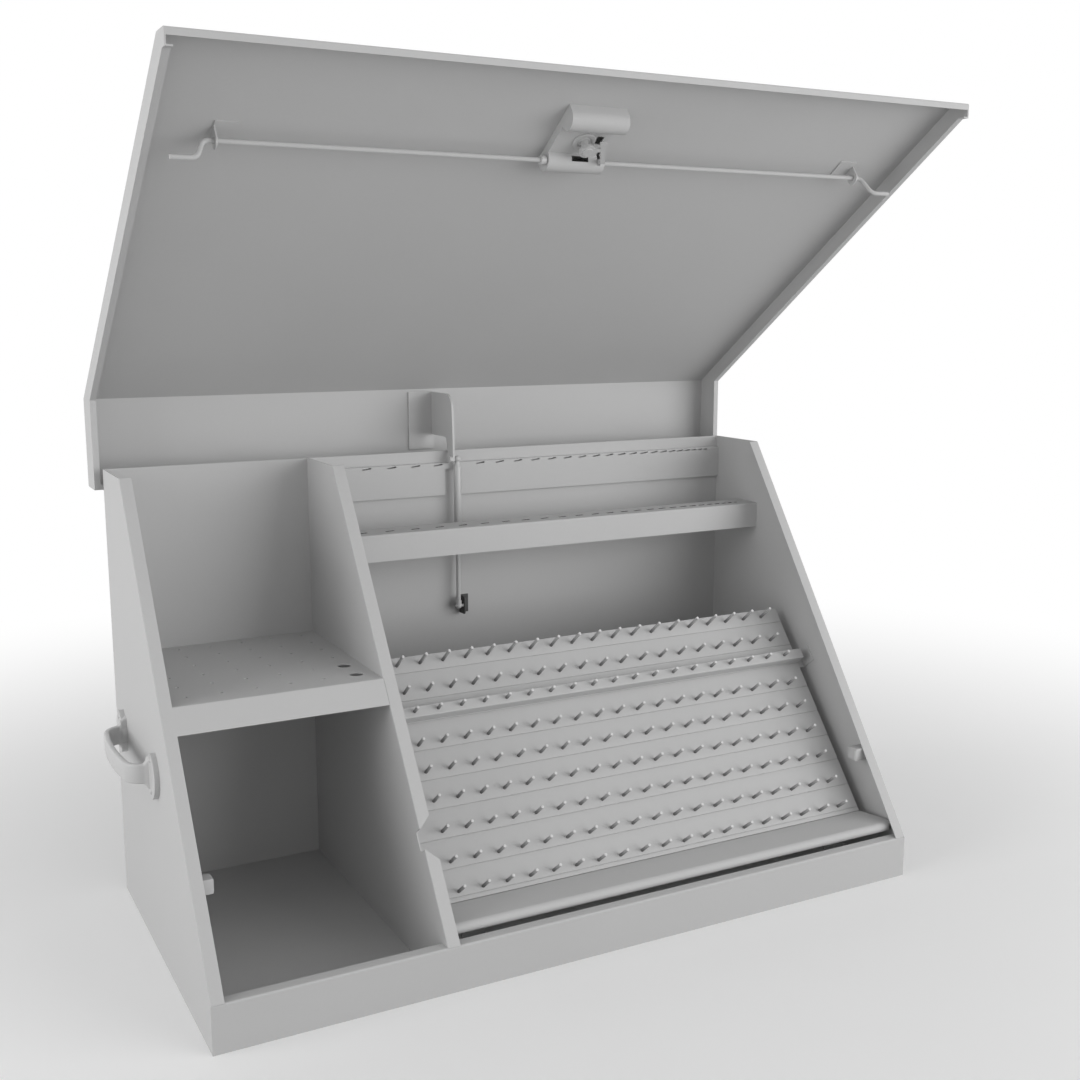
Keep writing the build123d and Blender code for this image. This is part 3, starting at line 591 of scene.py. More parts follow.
class Piece:
    """One shape under way, in a bmesh, drawn in millimetres.

    Edges that turn by more than CREASE degrees stay sharp, a bend takes a step every BEND_STEP
    degrees, the rim of a lens turns by more than LENS_RIM radians, and the tip of a peg is what
    lies above TIP_SHARE of its length.
    """

    CREASE = 38.0
    BEND_STEP = 4.0
    LENS_SIDES = 120
    LENS_RIM = 0.5
    PEG_SIDES = 10
    TIP_SHARE = 0.9
    BALL_SIDES = (32, 20)
    MERGE = 0.001
    MIRROR_MERGE = 0.01

    def __init__(self, name: str) -> None:
        """Start an empty shape.

        Args:
            name: The piece's name.
        """
        self.name = name
        self.mesh = bmesh.new()

    def lathe(self, profile: Outline, place: Matrix, facets: Facets = Facets.PIN) -> None:
        """Turn a profile of (radius, height) about the drawing's z axis.

        Args:
            profile: The outline from one end of the axis to the other.
            place: Placement of the turned shape.
            facets: Facets round the axis.
        """
        turned = bmesh.new()
        points = [turned.verts.new((radius, 0.0, height)) for radius, height in profile]
        edges = [turned.edges.new(pair) for pair in zip(points, points[1:])]
        bmesh.ops.spin(turned, geom=[*points, *edges], cent=(0, 0, 0), axis=(0, 0, 1),
                       angle=math.tau, steps=int(facets), use_merge=True)
        self._take(turned, place)

    def sweep(self, section: BMesh, path: Sequence[Vector], bends: Sequence[float],
              place: Matrix, soft: float = 0.0,
              reshape: Callable[[Vector], Vector] | None = None) -> None:
        """Push a section along a path and spin it round each corner.

        Args:
            section: One face in the drawing's x-y plane, which the sweep uses up.
            path: Corner points of the path, in the drawing's x-z plane.
            bends: Radius of the path's middle line at each inner corner.
            place: Placement of the path's drawing.
            soft: Radius of the rims at both ends.
            reshape: Change of every point before it is placed.
        """
        runs = [(b - a).normalized() for a, b in zip(path, path[1:])]
        lean = UP.rotation_difference(runs[0]).to_matrix().to_4x4()
        bmesh.ops.transform(section, matrix=Matrix.Translation(path[0]) @ lean,
                            verts=section.verts[:])
        front = [*section.verts, *section.edges, *section.faces]
        spot = path[0]
        for corner, bend, before, after in zip(path[1:], bends, runs, runs[1:]):
            turn = before.angle(after)
            entry = corner - before * bend * math.tan(turn / 2)
            front = self._push(section, front, entry - spot)
            axis = before.cross(after).normalized()
            steps = max(4, round(math.degrees(turn) / self.BEND_STEP))
            spun = bmesh.ops.spin(section, geom=front, cent=entry + axis.cross(before) * bend,
                                  axis=axis, angle=turn, steps=steps)
            front = spun["geom_last"]
            spot = corner + after * bend * math.tan(turn / 2)
        self._push(section, front, path[-1] - spot)
        if soft:
            ends = {edge for face in section.faces if len(face.verts) > 4 for edge in face.edges}
            self._soften(section, list(ends), soft, 3)
        if reshape:
            for vert in section.verts:
                vert.co = reshape(vert.co)
        self._take(section, place)

    @staticmethod
    def _push(bar: BMesh, front: list, move: Vector) -> list:
        """Extrude the front of a bar.

        Args:
            bar: The bar's mesh.
            front: Geometry of its front face.
            move: How far it goes.

        Returns:
            The geometry of the new front.
        """
        faces = [part for part in front if isinstance(part, bmesh.types.BMFace)]
        grown = bmesh.ops.extrude_face_region(bar, geom=faces)["geom"]
        bmesh.ops.translate(bar, vec=move,
                            verts=[v for v in grown if isinstance(v, bmesh.types.BMVert)])
        return grown

    @staticmethod
    def _soften(part: BMesh, edges: list, size: float, segments: int) -> None:
        """Round edges of a part.

        Args:
            part: Its mesh.
            edges: The edges.
            size: How far the rounding reaches.
            segments: Faces across it.
        """
        bmesh.ops.bevel(part, geom=edges, offset=size, segments=segments, profile=0.5,
                        affect="EDGES", material=-1)

    @staticmethod
    def _post(radius: float, height: float, sides: int) -> BMesh:
        """Upright prism that stands on the drawing's zero.

        Args:
            radius: Radius over its corners.
            height: Its height along z.
            sides: Its sides.

        Returns:
            The mesh.
        """
        post = bmesh.new()
        bmesh.ops.create_cone(post, cap_ends=True, segments=sides, radius1=radius, radius2=radius,
                              depth=height, matrix=Matrix.Translation((0, 0, height / 2)))
        return post

    @staticmethod
    def strip(width: float, thick: float, soft: float) -> BMesh:
        """Section of a flat bar with rounded corners.

        Args:
            width: Its size along y.
            thick: Its size along x.
            soft: Radius of its corners.

        Returns:
            The section, for a sweep.
        """
        face = bmesh.new()
        bmesh.ops.create_grid(face, x_segments=1, y_segments=1, size=0.5,
                              matrix=Matrix.Diagonal((thick, width, 1, 1)))
        bmesh.ops.bevel(face, geom=face.verts[:], offset=soft, segments=4, profile=0.5,
                        affect="VERTICES", material=-1)
        return face

    @staticmethod
    def disc(radius: float) -> BMesh:
        """Section of a round bar.

        Args:
            radius: Its radius.

        Returns:
            The section, for a sweep.
        """
        face = bmesh.new()
        bmesh.ops.create_circle(face, cap_ends=True, segments=int(Facets.HEAD), radius=radius)
        return face

    def lens(self, size: Point, height: float, place: Matrix, soft: float) -> None:
        """Raised plate whose outline is two arcs that meet in points.

        Args:
            size: Half its width and half its height.
            height: How far it stands out along z.
            place: Placement of its foot.
            soft: Radius of its rim.
        """
        width, tall = size
        radius = (tall ** 2 + width ** 2) / (2 * width)
        plate = bmesh.new()
        bmesh.ops.create_circle(plate, cap_ends=True, segments=self.LENS_SIDES, radius=radius,
                                matrix=Matrix.Translation((radius - width, 0, 0)))
        bmesh.ops.bisect_plane(plate, geom=[*plate.verts, *plate.edges, *plate.faces],
                               plane_co=(0, 0, 0), plane_no=(1, 0, 0), clear_outer=True)
        bmesh.ops.mirror(plate, geom=[*plate.verts, *plate.edges, *plate.faces], axis="X",
                         merge_dist=self.MIRROR_MERGE)
        top = self._push(plate, plate.faces[:], Vector((0, 0, height)))
        rim = [e for e in plate.edges if all(v in top for v in e.verts) and len(e.link_faces) == 2
               and e.calc_face_angle(0) > self.LENS_RIM]
        self._soften(plate, rim, soft, 3)
        self._take(plate, place)

    def peg(self, radius: float, length: float, soft: float, place: Matrix) -> None:
        """Short round pin with a softened tip.

        Args:
            radius: Radius of the pin.
            length: Its length along the drawing's z.
            soft: Radius of the tip's rim.
            place: Placement of its foot.
        """
        pin = self._post(radius, length, self.PEG_SIDES)
        tip = [e for e in pin.edges if all(v.co.z > length * self.TIP_SHARE for v in e.verts)]
        self._soften(pin, tip, soft, 2)
        self._take(pin, place)

    def ball(self, radius: float, place: Matrix) -> None:
        """Ball at the drawing's zero, for a joint's socket.

        Args:
            radius: Its radius.
            place: Its placement.
        """
        shape = bmesh.new()
        around, high = self.BALL_SIDES
        bmesh.ops.create_uvsphere(shape, u_segments=around, v_segments=high, radius=radius)
        self._take(shape, place)

    def nut(self, radius: float, height: float, soft: float, place: Matrix) -> None:
        """Hexagon nut whose edges are softened.

        Args:
            radius: Radius over its corners.
            height: Its height along z.
            soft: Size of its bevels.
            place: Placement of its foot.
        """
        shape = self._post(radius, height, 6)
        self._soften(shape, shape.edges[:], soft, 2)
        self._take(shape, place)

    def bar(self, size: Size, place: Matrix, soft: float) -> None:
        """Block with rounded edges, centred on the drawing's zero.

        Args:
            size: Its three sizes.
            place: Its placement.
            soft: Radius of its edges.
        """
        block = bmesh.new()
        bmesh.ops.create_cube(block, size=1.0, matrix=Matrix.Diagonal((*size, 1)))
        self._soften(block, block.edges[:], soft, 4)
        self._take(block, place)

    def _take(self, part: BMesh, place: Matrix) -> None:
        """Seal a part, turn its faces outwards, place it and add it to the shape.

        Args:
            part: The part, which is freed.
            place: Its placement.
        """
        bmesh.ops.remove_doubles(part, verts=part.verts[:], dist=self.MERGE)
        bmesh.ops.recalc_face_normals(part, faces=part.faces[:])
        bmesh.ops.transform(part, matrix=place, verts=part.verts[:])
        if place.determinant() < 0:
            bmesh.ops.reverse_faces(part, faces=part.faces[:])
        holder = bpy.data.meshes.new("holder")
        part.to_mesh(holder)
        part.free()
        self.mesh.from_mesh(holder)
        bpy.data.meshes.remove(holder)

    def done(self, finish: Material, body: Body,
             stands_for: Iterable[str] = ()) -> None:
        """Make the object, shade it and put it on its body.

        Args:
            finish: Its material.
            body: The body that it rides on.
            stands_for: Nodes of the frame that it replaces.
        """
        data = bpy.data.meshes.new(self.name)
        self.mesh.to_mesh(data)
        self.mesh.free()
        data.shade_smooth()
        data.set_sharp_from_angle(angle=math.radians(self.CREASE))
        data.materials.append(finish)
        piece = bpy.data.objects.new(self.name, data)
        bpy.context.scene.collection.objects.link(piece)
        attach(piece, body.value)
        nodes = list(stands_for)
        if nodes:
            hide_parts(*nodes)
        LOG.info("piece %s: %d faces", self.name, len(data.polygons))


@dataclass
class SubAssembly:
    """A group of pieces that is dressed together."""

    finishes: Finishes
    nodes: dict[str, bpy.types.Object]

    def dress(self, slot: Slot, names: Iterable[str], finish: Material | None = None) -> None:
        """Give frame nodes their finish.

        Args:
            slot: The slot whose finish they take.
            names: The nodes' names.
            finish: Another finish than the slot's own.
        """
        for name in names:
            paint = self.nodes[name].data.materials
            paint.clear()
            paint.append(finish or self.finishes.of(slot))
            LOG.info("dressed %s as %s", name, slot.value)


@dataclass
class Case(SubAssembly):
    """Sheet-steel body with its shelf, divider and slotted rails."""

    panels: tuple[str, ...] = ("left_side_panel", "right_side_panel", "back_panel", "bottom_panel",
                               "front_sill", "divider_panel", "left_shelf", "rear_tool_rail")

    def build(self) -> None:
        """Dress the panels."""
        self.dress(Slot.CASE, self.panels)
        # The front rail's finish paints its slot walls near black as shade.
        self.dress(Slot.CASE, ("front_tool_rail",), self.finishes.rail)
        self.dress(Slot.HARDWARE, ("striker_left", "striker_right"))


@dataclass
class PegTray(SubAssembly):
    """Sloping tray with its slats, raised ridge, rolled nose and rows of pegs.

    The slat is thickness and rounding, the tip radius, length and rounding, and the bracket
    reach, height and depth. Seams and rows are distances down the slope.
    """

    top: Point = (263.7, 309.9)
    foot: Point = (70.0, 68.7)
    left: float = 275.0
    right: float = 897.7
    slat: Point = (1.0, 0.35)
    seams: tuple[float, ...] = (22.3, 59.0, 88.4, 124.4, 162.2, 198.8, 234.7, 271.0, 304.3)
    seam: float = 0.9
    rows: tuple[float, ...] = (10.7, 47.8, 79.3, 116.4, 151.1, 187.8, 225.5, 262.4, 297.8)
    pitch: float = 31.1
    pegs: int = 19
    peg_radius: float = 2.1
    peg_soft: float = 0.3
    tip: Size = (1.953, 1.3, 0.65)
    top_reach: float = 28.0
    slat_reach: float = 22.0
    ridge_reach: float = 14.0
    ridge_row: int = 2
    ridge_rise: float = 16.5
    bracket: Size = (15.2, 27.0, 25.0)
    bracket_soft: float = 0.4
    sheet: float = 1.2

    def build(self) -> None:
        """Dress the sheets, lay the slats and set the pegs and brackets."""
        self.dress(Slot.TRAY, ("tray_panel", "tray_ridge", "tray_nose", "tray_feet"))
        run = self.top[0] - self.foot[0]
        rise = self.top[1] - self.foot[1]
        length = math.hypot(run, rise)
        sine, cosine = run / length, rise / length
        face = axes(at(0, *self.top), RIGHT, Vector((0, sine, cosine)), Vector((0, -cosine, sine)))
        self._slats(face, length)
        self._pegs(face)
        self._bracket(face, Side.LEFT, self.left)
        self._bracket(face, Side.RIGHT, self.right)

    def _slats(self, face: Matrix, length: float) -> None:
        """Lay the slats with a fine seam between each two.

        Args:
            face: Placement at the tray's top edge, with z out of its face.
            length: Length of the tray down its slope.
        """
        thick, soft = self.slat
        shape = Piece("laid_slats")
        starts = (0.0, *self.seams)
        ends = (*(seam - self.seam for seam in self.seams), length)
        for start, end in zip(starts, ends):
            middle = ((self.left + self.right) / 2, -(start + end) / 2, -thick / 2)
            shape.bar((self.right - self.left, end - start, thick),
                      face @ Matrix.Translation(middle), soft)
        shape.done(self.finishes.tray, Body.CASE, ("tray_slats",))

    def _pegs(self, face: Matrix) -> None:
        """Set the pegs, painted darker at the foot as shade, and their tips, painted pale as a
        highlight, row by row.

        Args:
            face: Placement at the tray's top edge, with z out of its face.
        """
        out = (face.to_3x3() @ UP).normalized()
        tips = Piece("peg_tips")
        tip_radius, tip_length, tip_soft = self.tip
        first = (self.left + self.right - (self.pegs - 1) * self.pitch) / 2
        slat_rows = [row for row in range(len(self.rows)) if row != self.ridge_row]
        groups = (("slat_pegs", 0.0, slat_rows, self.slat_reach, ("tray_pegs",)),
                  ("ridge_pegs", self.ridge_rise, [self.ridge_row], self.ridge_reach, ()))
        for name, base, rows, reach, stands_for in groups:
            # Peg shafts are painted darker towards the foot as shade.
            coat = PegPaintedShade(f"{name}_coat", face @ Vector((0, 0, base)), out, reach * MM)
            shape = Piece(name)
            for row in rows:
                shank = (reach if row else self.top_reach) - tip_length
                for column in range(self.pegs):
                    seat = (first + column * self.pitch, -self.rows[row], base)
                    spot = face @ Matrix.Translation(seat)
                    shape.peg(self.peg_radius, shank, self.peg_soft, spot)
                    tips.peg(tip_radius, tip_length, tip_soft,
                             spot @ Matrix.Translation((0, 0, shank)))
            shape.done(coat.material(), Body.CASE, stands_for)
        # The tips are painted pale as a highlight.
        tips.done(self.finishes.peg_tip_highlight, Body.CASE)

    def _bracket(self, face: Matrix, side: Side, edge: float) -> None:
        """Fold the bracket that carries the tray's back on the wall beside it.

        Args:
            face: Placement at the tray's top edge, with z out of its face.
            side: The side that it is on.
            edge: The tray's edge on that side.
        """
        reach, height, deep = self.bracket
        down = -self.rows[self.ridge_row]
        name = side.name.lower()
        shape = Piece(f"folded_bracket_{name}")
        wall = (edge + side * (reach - self.sheet / 2), down, self.ridge_rise - deep / 2)
        shape.bar((self.sheet, height, deep), face @ Matrix.Translation(wall), self.bracket_soft)
        shelf = (edge + side * reach / 2, down, self.ridge_rise - deep + self.sheet / 2)
        shape.bar((reach, height, self.sheet), face @ Matrix.Translation(shelf), self.bracket_soft)
        shape.done(self.finishes.tray, Body.CASE, (f"tray_bracket_{name}",))


@dataclass
class Handles(SubAssembly):
    """Arched grip that rises from two lens-shaped end plates on each side of the case.

    The plate is half its width, half its height and its rise, the grip width, thickness and
    rounding, and the flare what its foot gains in thickness and in width.
    """

    height: float = 226.5
    front: float = 211.0
    span: float = 181.0
    plate: Size = (19.5, 27.0, 6.0)
    plate_soft: float = 0.5
    foot: float = 12.25
    lean: float = 3.4
    shoulder: float = 24.5
    crown: float = 34.2
    bends: Size = (23.0, 420.0, 23.0)
    grip: Size = (23.0, 6.5, 2.2)
    flare_top: float = 13.0
    flare: Point = (0.75, 0.95)
    screw_up: float = 18.5
    screw: Outline = ((0, 0.5), (0.9, 0.5), (1.1, 1.2), (1.44, 1.2), (2.16, 0.72), (2.4, 0), (0, 0))

    def build(self) -> None:
        """Build both handles and their screws."""
        screws = Piece("handle_screw_heads")
        for side in Side:
            self._one(side, screws)
        screws.done(self.finishes.hardware, Body.CASE, ("handle_screws",))

    def _one(self, side: Side, screws: Piece) -> None:
        """Build one handle.

        Args:
            side: The side that it is on.
            screws: The shape that gathers the screw heads.
        """
        name = side.name.lower()
        wall = Layout.WIDTH if side is Side.RIGHT else 0.0
        out = RIGHT * side
        seat = axes(at(wall, self.front, self.height), BACK, out.cross(BACK), out)
        near, far = self.foot, self.span - self.foot
        path = [Vector((near, 0, 0)), Vector((near + self.lean, 0, self.shoulder)),
                Vector((self.span / 2, 0, self.crown)), Vector((far - self.lean, 0, self.shoulder)),
                Vector((far, 0, 0))]
        shape = Piece(f"arched_handle_{name}")
        shape.sweep(Piece.strip(*self.grip), path, self.bends, seat, reshape=self._flared)
        wide, tall, rise = self.plate
        for place in (0.0, self.span):
            shape.lens((wide, tall), rise, seat @ Matrix.Translation((place, 0, 0)),
                       self.plate_soft)
            for up in (-self.screw_up, self.screw_up):
                screws.lathe(self.screw, seat @ Matrix.Translation((place, up, rise)), Facets.HEAD)
        shape.done(self.finishes.hardware, Body.CASE, (f"handle_{name}",))

    def _flared(self, spot: Vector) -> Vector:
        """Widen the grip where it runs into its plate.

        Args:
            spot: A point of the straight-sided grip.

        Returns:
            Where the point goes.
        """
        drop = (self.flare_top - spot.z) / (self.flare_top - self.plate[2])
        share = min(1.0, max(0.0, drop)) ** 3
        middle = self.foot + self.lean * spot.z / self.shoulder
        if spot.x > self.span / 2:
            middle = self.span - middle
        thicker, wider = self.flare
        return Vector((middle + (spot.x - middle) * (1 + thicker * share),
                       spot.y * (1 + wider * share), spot.z))


@dataclass
class Lid(SubAssembly):
    """Folded hood with its hinge, whose rivets have low domed heads."""

    rivet: Outline = ((0, 1.2), (1.35, 1.116), (2.4, 0.72), (3, 0.144), (3, 0), (0, 0))
    first: float = 33.0
    pitch: float = 121.2
    count: int = 8
    seat: Point = (441.5, 490.75)

    def build(self) -> None:
        """Dress the hood and the hinge, and turn the rivets."""
        self.dress(Slot.LID, ("lid_shell",))
        self.dress(Slot.HARDWARE, ("hinge_lid_leaf", "hinge_case_leaf", "hinge_pin",
                                   "strut_lid_bracket"))
        shape = Piece("rivet_heads")
        for index in range(self.count):
            seat = axes(at(self.first + index * self.pitch, *self.seat), -RIGHT, UP, BACK)
            shape.lathe(self.rivet, seat, Facets.HEAD)
        shape.done(self.finishes.hardware, Body.CASE, ("hinge_rivets",))


@dataclass
class Latch(SubAssembly):
    """Rolled housing, cranked rod, guides and lock.

    The crank is the path of one end of the rod, as (x, inwards) pairs. Every other outline is
    (radius, height) pairs.
    """

    rod_radius: float = 2.6
    rod_soft: float = 0.8
    rod_bend: float = 9.5
    crank: Outline = ((15.0, 36.0), (40.5, 36.0), (50.0, Layout.ROD_IN))
    collar: Outline = ((2.4, 0), (4.5, 0), (5, 0.5), (5, 6.5), (4.5, 7), (2.4, 7), (2.4, 0))
    collar_at: float = 414.7
    lock_down: float = 28.5
    lock_body: Outline = (
        (7.2, -4), (17, -4), (20.4, -3.4), (22, -1.6), (22, 0), (10.9, 0), (10.9, 10.2),
        (13, 10.2), (13, 11.7), (12.5, 12.2), (9.4, 12.2), (8.6, 11.4), (7.2, 11.4), (7.2, -4))
    plug: Outline = (
        (0, -5), (6.4, -5), (7, -4.4), (7, 11), (6.4, 11.6), (4, 11.6), (4, 19.8), (7.7, 20.2),
        (8.2, 20.7), (8.2, 23), (0, 23))
    cam_screw: Outline = ((0, 25), (6, 25), (6, 25.5), (5.6, 25.9), (0, 25.9))
    rose: Outline = ((0, -5), (8.6, -5), (9.6, -6), (9.6, -9), (0, -9))
    bar: Size = (64.0, 15.0, 12.0)
    bar_at: float = -11.0
    bar_soft: float = 4.5

    def build(self) -> None:
        """Dress the pressed parts, sweep the rod and turn the lock."""
        self.dress(Slot.HARDWARE, ("rod_guide_left", "rod_guide_right", "rod_lever", "lock_cam"))
        # The housing's lower roll is painted near black inside, as shade.
        self.dress(Slot.HARDWARE, ("latch_housing",), self.finishes.barrel_shaded)
        lid = Layout.lid()
        down = Layout.ROD_DOWN
        self._rod(lid @ Matrix.Translation((0, down, 0)))
        self._lock(lid @ Matrix.Translation((Layout.WIDTH / 2, down + self.lock_down, 0)))

    def _rod(self, place: Matrix) -> None:
        """Sweep the cranked rod and turn its collar.

        Args:
            place: Placement at the rod, on the lid's sheet.
        """
        path = [Vector((x, 0, inwards)) for x, inwards in self.crank]
        path += [Vector((Layout.WIDTH - x, 0, inwards)) for x, inwards in reversed(self.crank)]
        rod = Piece("cranked_rod")
        rod.sweep(Piece.disc(self.rod_radius), path, (self.rod_bend,) * 4, place, self.rod_soft)
        # The rod is painted near black where it runs inside the housing's roll, as shade.
        rod.done(self.finishes.barrel_shaded, Body.LATCH, ("latch_rod",))
        seat = place @ Matrix.Translation((self.collar_at, 0, Layout.ROD_IN)) @ Matrix.Rotation(
            math.radians(90), 4, "Y")
        ring = Piece("turned_collar")
        ring.lathe(self.collar, seat)
        ring.done(self.finishes.hardware, Body.LATCH, ("rod_collar",))

    def _lock(self, place: Matrix) -> None:
        """Turn the lock's body and plug and round its handle.

        Args:
            place: Placement at the lock's axis, on the lid's sheet.
        """
        body = Piece("turned_lock_body")
        body.lathe(self.lock_body, place, Facets.ROSE)
        body.done(self.finishes.hardware, Body.LID, ("lock_body",))
        plug = Piece("turned_lock_plug")
        plug.lathe(self.plug, place, Facets.TUBE)
        plug.lathe(self.cam_screw, place, Facets.TUBE)
        plug.done(self.finishes.hardware, Body.LOCK, ("lock_plug",))
        handle = Piece("turning_handle")
        handle.bar(self.bar, place @ Matrix.Translation((0, 0, self.bar_at)), self.bar_soft)
        handle.lathe(self.rose, place, Facets.TUBE)
        handle.done(self.finishes.hardware, Body.LOCK, ("lock_handle",))


@dataclass
class GasStrut(SubAssembly):
    """Gas strut with ball sockets, between the case bracket and the lid bracket.

    The tube and the socket are drawn from the upper ball, the rod and the eye from the lower one.
    """

    foot: Size = (467.5, 425.0, 327.3)
    reach: float = 207.0
    tube: Outline = (
        (0, -9.6), (4, -9.6), (4.7, -9.9), (5, -10.6), (5, -95.6), (4.6, -96.2), (4.6, -97.2),
        (5, -97.8), (5, -102.6), (4.7, -103.3), (4, -103.6), (3.05, -103.6), (3.05, -97.6),
        (4, -97.6), (4, -11.6), (0, -11.6))
    ball: float = 4.8
    socket: Outline = ((0, 0), (3.5, 0), (3.5, -7.2), (4, -8.2), (4, -9.6), (0, -9.6))
    rod: Outline = ((0, 4.4), (3, 4.4), (3, 110.9), (2.5, 111.4), (0, 111.4))
    eye_ball: float = 4.4
    eye: Outline = ((0, 0), (4, 0.5), (4, 7.2), (3.5, 7.7), (0, 7.7))
    stud: Outline = ((0, -5), (1.4, -5), (2, -4.4), (2, 7.4), (0, 7.4))
    nut: Size = (5.0, 4.0, 0.4)
    nut_at: float = -12.1

    def build(self) -> None:
        """Dress the bracket, painted near black as shade, and turn the strut's parts."""
        self.dress(Slot.HARDWARE, ("strut_case_bracket",), self.finishes.bracket)
        foot = axes(at(*self.foot), RIGHT, BACK, UP)
        side = axes(at(*self.foot), BACK, UP, RIGHT)
        self._cylinder(foot @ Matrix.Translation((0, 0, self.reach)))
        self._rod(foot, side)
        self._nut(side @ Matrix.Translation((0, self.reach, self.nut_at)))

    def _cylinder(self, top: Matrix) -> None:
        """Turn the cylinder with its rolled gland, and its ball socket.

        Args:
            top: Placement at the upper ball.
        """
        tube = Piece("strut_tube")
        tube.lathe(self.tube, top, Facets.TUBE)
        tube.done(self.finishes.strut, Body.STRUT_CYLINDER, ("strut_cylinder",))
        socket = Piece("upper_ball_socket")
        socket.ball(self.ball, top)
        socket.lathe(self.socket, top, Facets.ROD)
        socket.done(self.finishes.hardware, Body.STRUT_CYLINDER,
                    ("strut_upper_socket",))

    def _rod(self, foot: Matrix, side: Matrix) -> None:
        """Turn the piston rod, its eye and the stud through it.

        Args:
            foot: Placement at the lower stud, with z up.
            side: Placement at the lower stud, with z to the right.
        """
        rod = Piece("piston_rod")
        rod.lathe(self.rod, foot, Facets.ROD)
        rod.done(self.finishes.strut, Body.STRUT_ROD, ("strut_rod",))
        eye = Piece("lower_eye")
        eye.ball(self.eye_ball, foot)
        eye.lathe(self.eye, foot, Facets.ROD)
        eye.done(self.finishes.hardware, Body.STRUT_ROD, ("strut_lower_eye",))
        stud = Piece("lower_stud")
        stud.lathe(self.stud, side)
        stud.done(self.finishes.hardware, Body.CASE, ("strut_lower_stud",))

    def _nut(self, side: Matrix) -> None:
        """Shape the nut on the lid bracket.

        Args:
            side: Placement at the nut's foot, with z to the right.
        """
        nut = Piece("lid_bracket_nut")
        nut.nut(*self.nut, side)
        nut.done(self.finishes.hardware, Body.LID, ("strut_nut",))


@dataclass(frozen=True)
class Lamp:
    """One soft square lamp that faces the chest."""

    name: str
    place: Size
    size: float
    power: float
    aim: Size = (0.0, 0.0, 0.45)

    def hang(self) -> None:
        """Put the lamp in the scene."""
        data = bpy.data.lights.new(self.name, "AREA")
        data.size = self.size
        data.energy = self.power
        lamp = bpy.data.objects.new(self.name, data)
        lamp.location = self.place
        look = Vector(self.aim) - Vector(self.place)
        lamp.rotation_euler = look.to_track_quat("-Z", "Y").to_euler()
        bpy.context.scene.collection.objects.link(lamp)


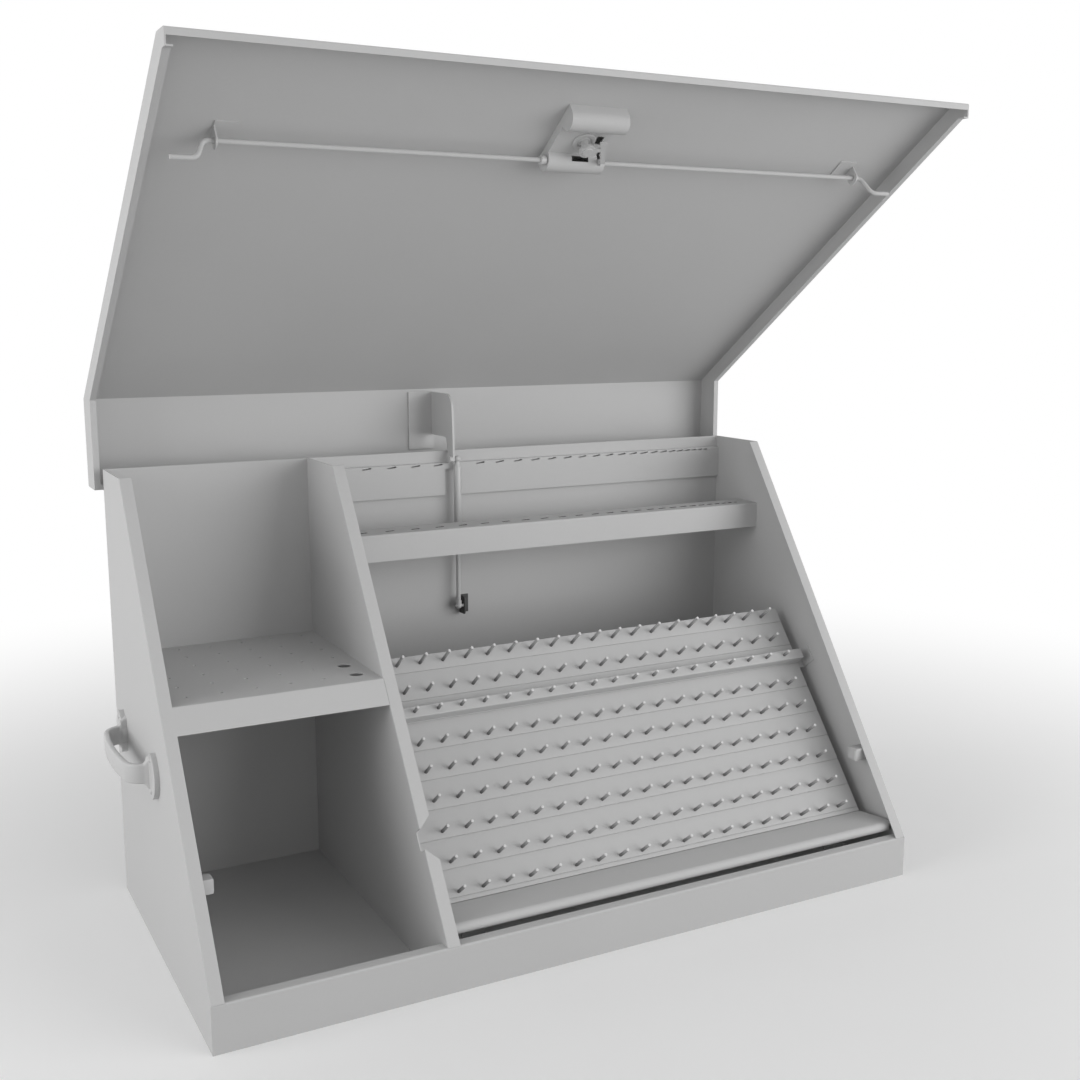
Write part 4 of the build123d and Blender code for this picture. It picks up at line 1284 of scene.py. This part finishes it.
@dataclass
class Studio:
    """Pale floor, soft lights and the camera, whose axes are right, down and forward.

    The floor turns white between the two distances of the fade. To rays that don't show the
    backdrop, the dome is the world's strength and the bounce the floor's colour.
    """

    camera_at: Size = (-0.7332, -1.44075, 0.7392)
    right: Size = (0.8834, -0.4685, -0.0002)
    down: Size = (-0.0817, -0.1536, -0.9847)
    forward: Size = (0.4614, 0.8700, -0.1740)
    sensor: float = 36.0
    lens: float = 43.823
    nearest: float = 0.02
    floor: Colour = (0.92, 0.92, 0.92)
    floor_half: float = 6.0
    bounce: Colour = (0.55, 0.55, 0.55)
    white: Colour = (1.0, 1.0, 1.0)
    fade: Point = (0.55, 1.9)
    dome: float = 0.55
    lamps: tuple[Lamp, ...] = (Lamp("left", (-3.2, -0.1, 0.7), 2.4, 60.0),
                               Lamp("right", (2.2, -2.8, 0.4), 3.4, 122.0))

    def build(self) -> None:
        """Set the camera, the lights, the world and the floor."""
        scene = bpy.context.scene
        scene.view_settings.view_transform = "Standard"
        camera = bpy.data.objects.new("camera", bpy.data.cameras.new("camera"))
        camera.data.sensor_width = self.sensor
        camera.data.lens = self.lens
        camera.data.clip_start = self.nearest
        turn = Matrix((Vector(self.right), -Vector(self.down), -Vector(self.forward))).transposed()
        camera.matrix_world = Matrix.Translation(self.camera_at) @ turn.to_4x4()
        scene.collection.objects.link(camera)
        scene.camera = camera
        for lamp in self.lamps:
            lamp.hang()
        self._world()
        self._floor()

    @staticmethod
    def _shown(kit: NodeKit) -> Term:
        """Mask of the rays that show the backdrop: the camera's, and those of gloss and glass.

        Args:
            kit: Maker of the nodes.

        Returns:
            The mask.
        """
        rays = kit.node("ShaderNodeLightPath").outputs
        camera, gloss, glass = (Term(kit, rays[f"Is {kind} Ray"])
                                for kind in ("Camera", "Glossy", "Transmission"))
        return 1 - (1 - camera) * (1 - gloss) * (1 - glass)

    def _world(self) -> None:
        """White where the backdrop shows, a soft grey to everything else."""
        world = bpy.data.worlds.new("studio")
        bpy.context.scene.world = world
        world.use_nodes = True
        kit = NodeKit(world.node_tree)
        level = self._shown(kit) * (1 - self.dome) + self.dome
        sky = kit.node("ShaderNodeBackground", {}, {"Color": (*self.white, 1.0),
                                                    "Strength": level})
        kit.node("ShaderNodeOutputWorld", {}, {"Surface": sky.outputs["Background"]})

    def _floor(self) -> None:
        """Lay the pale floor, which fades into the backdrop for the rays that show it."""
        sheet = bmesh.new()
        bmesh.ops.create_grid(sheet, x_segments=1, y_segments=1, size=self.floor_half)
        data = bpy.data.meshes.new("floor")
        sheet.to_mesh(data)
        sheet.free()
        paint = PowderCoat("floor_paint", self.floor, roughness=0.85, peel_scale=60.0,
                           peel_depth=0.00001, clouding=0.01).material()
        kit = NodeKit(paint.node_tree, keep=True)
        coat = paint.node_tree.nodes["Principled BSDF"]
        place = kit.node("ShaderNodeTexCoord").outputs["Object"]
        away = kit.node("ShaderNodeVectorMath", {"operation": "LENGTH"}, {0: place})
        share = kit.smooth_share(away.outputs["Value"], *self.fade)
        white = kit.node("ShaderNodeEmission", {}, {"Color": (*self.white, 1.0), "Strength": 1.0})
        calm = kit.node("ShaderNodeBsdfDiffuse", {}, {"Color": (*self.bounce, 1.0)})
        seen = kit.node("ShaderNodeMixShader", {}, {
            0: share, 1: coat.outputs["BSDF"], 2: white.outputs["Emission"]})
        mixed = kit.node("ShaderNodeMixShader", {}, {
            0: self._shown(kit), 1: calm.outputs["BSDF"], 2: seen.outputs["Shader"]})
        paint.node_tree.links.new(mixed.outputs["Shader"],
                                  paint.node_tree.nodes["Material Output"].inputs["Surface"])
        data.materials.append(paint)
        floor = bpy.data.objects.new("floor", data)
        bpy.context.scene.collection.objects.link(floor)


def main() -> None:
    """Load the frame, build every sub-assembly and set up the studio."""
    logging.basicConfig(level=logging.INFO, format="%(name)s: %(message)s")
    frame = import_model()
    finishes = Finishes()
    nodes = frame["nodes"]
    for kind in (Case, PegTray, Handles, Lid, Latch, GasStrut):
        LOG.info("building %s", kind.__name__)
        kind(finishes, nodes).build()
    Studio().build()


if __name__ == "__main__":
    main()
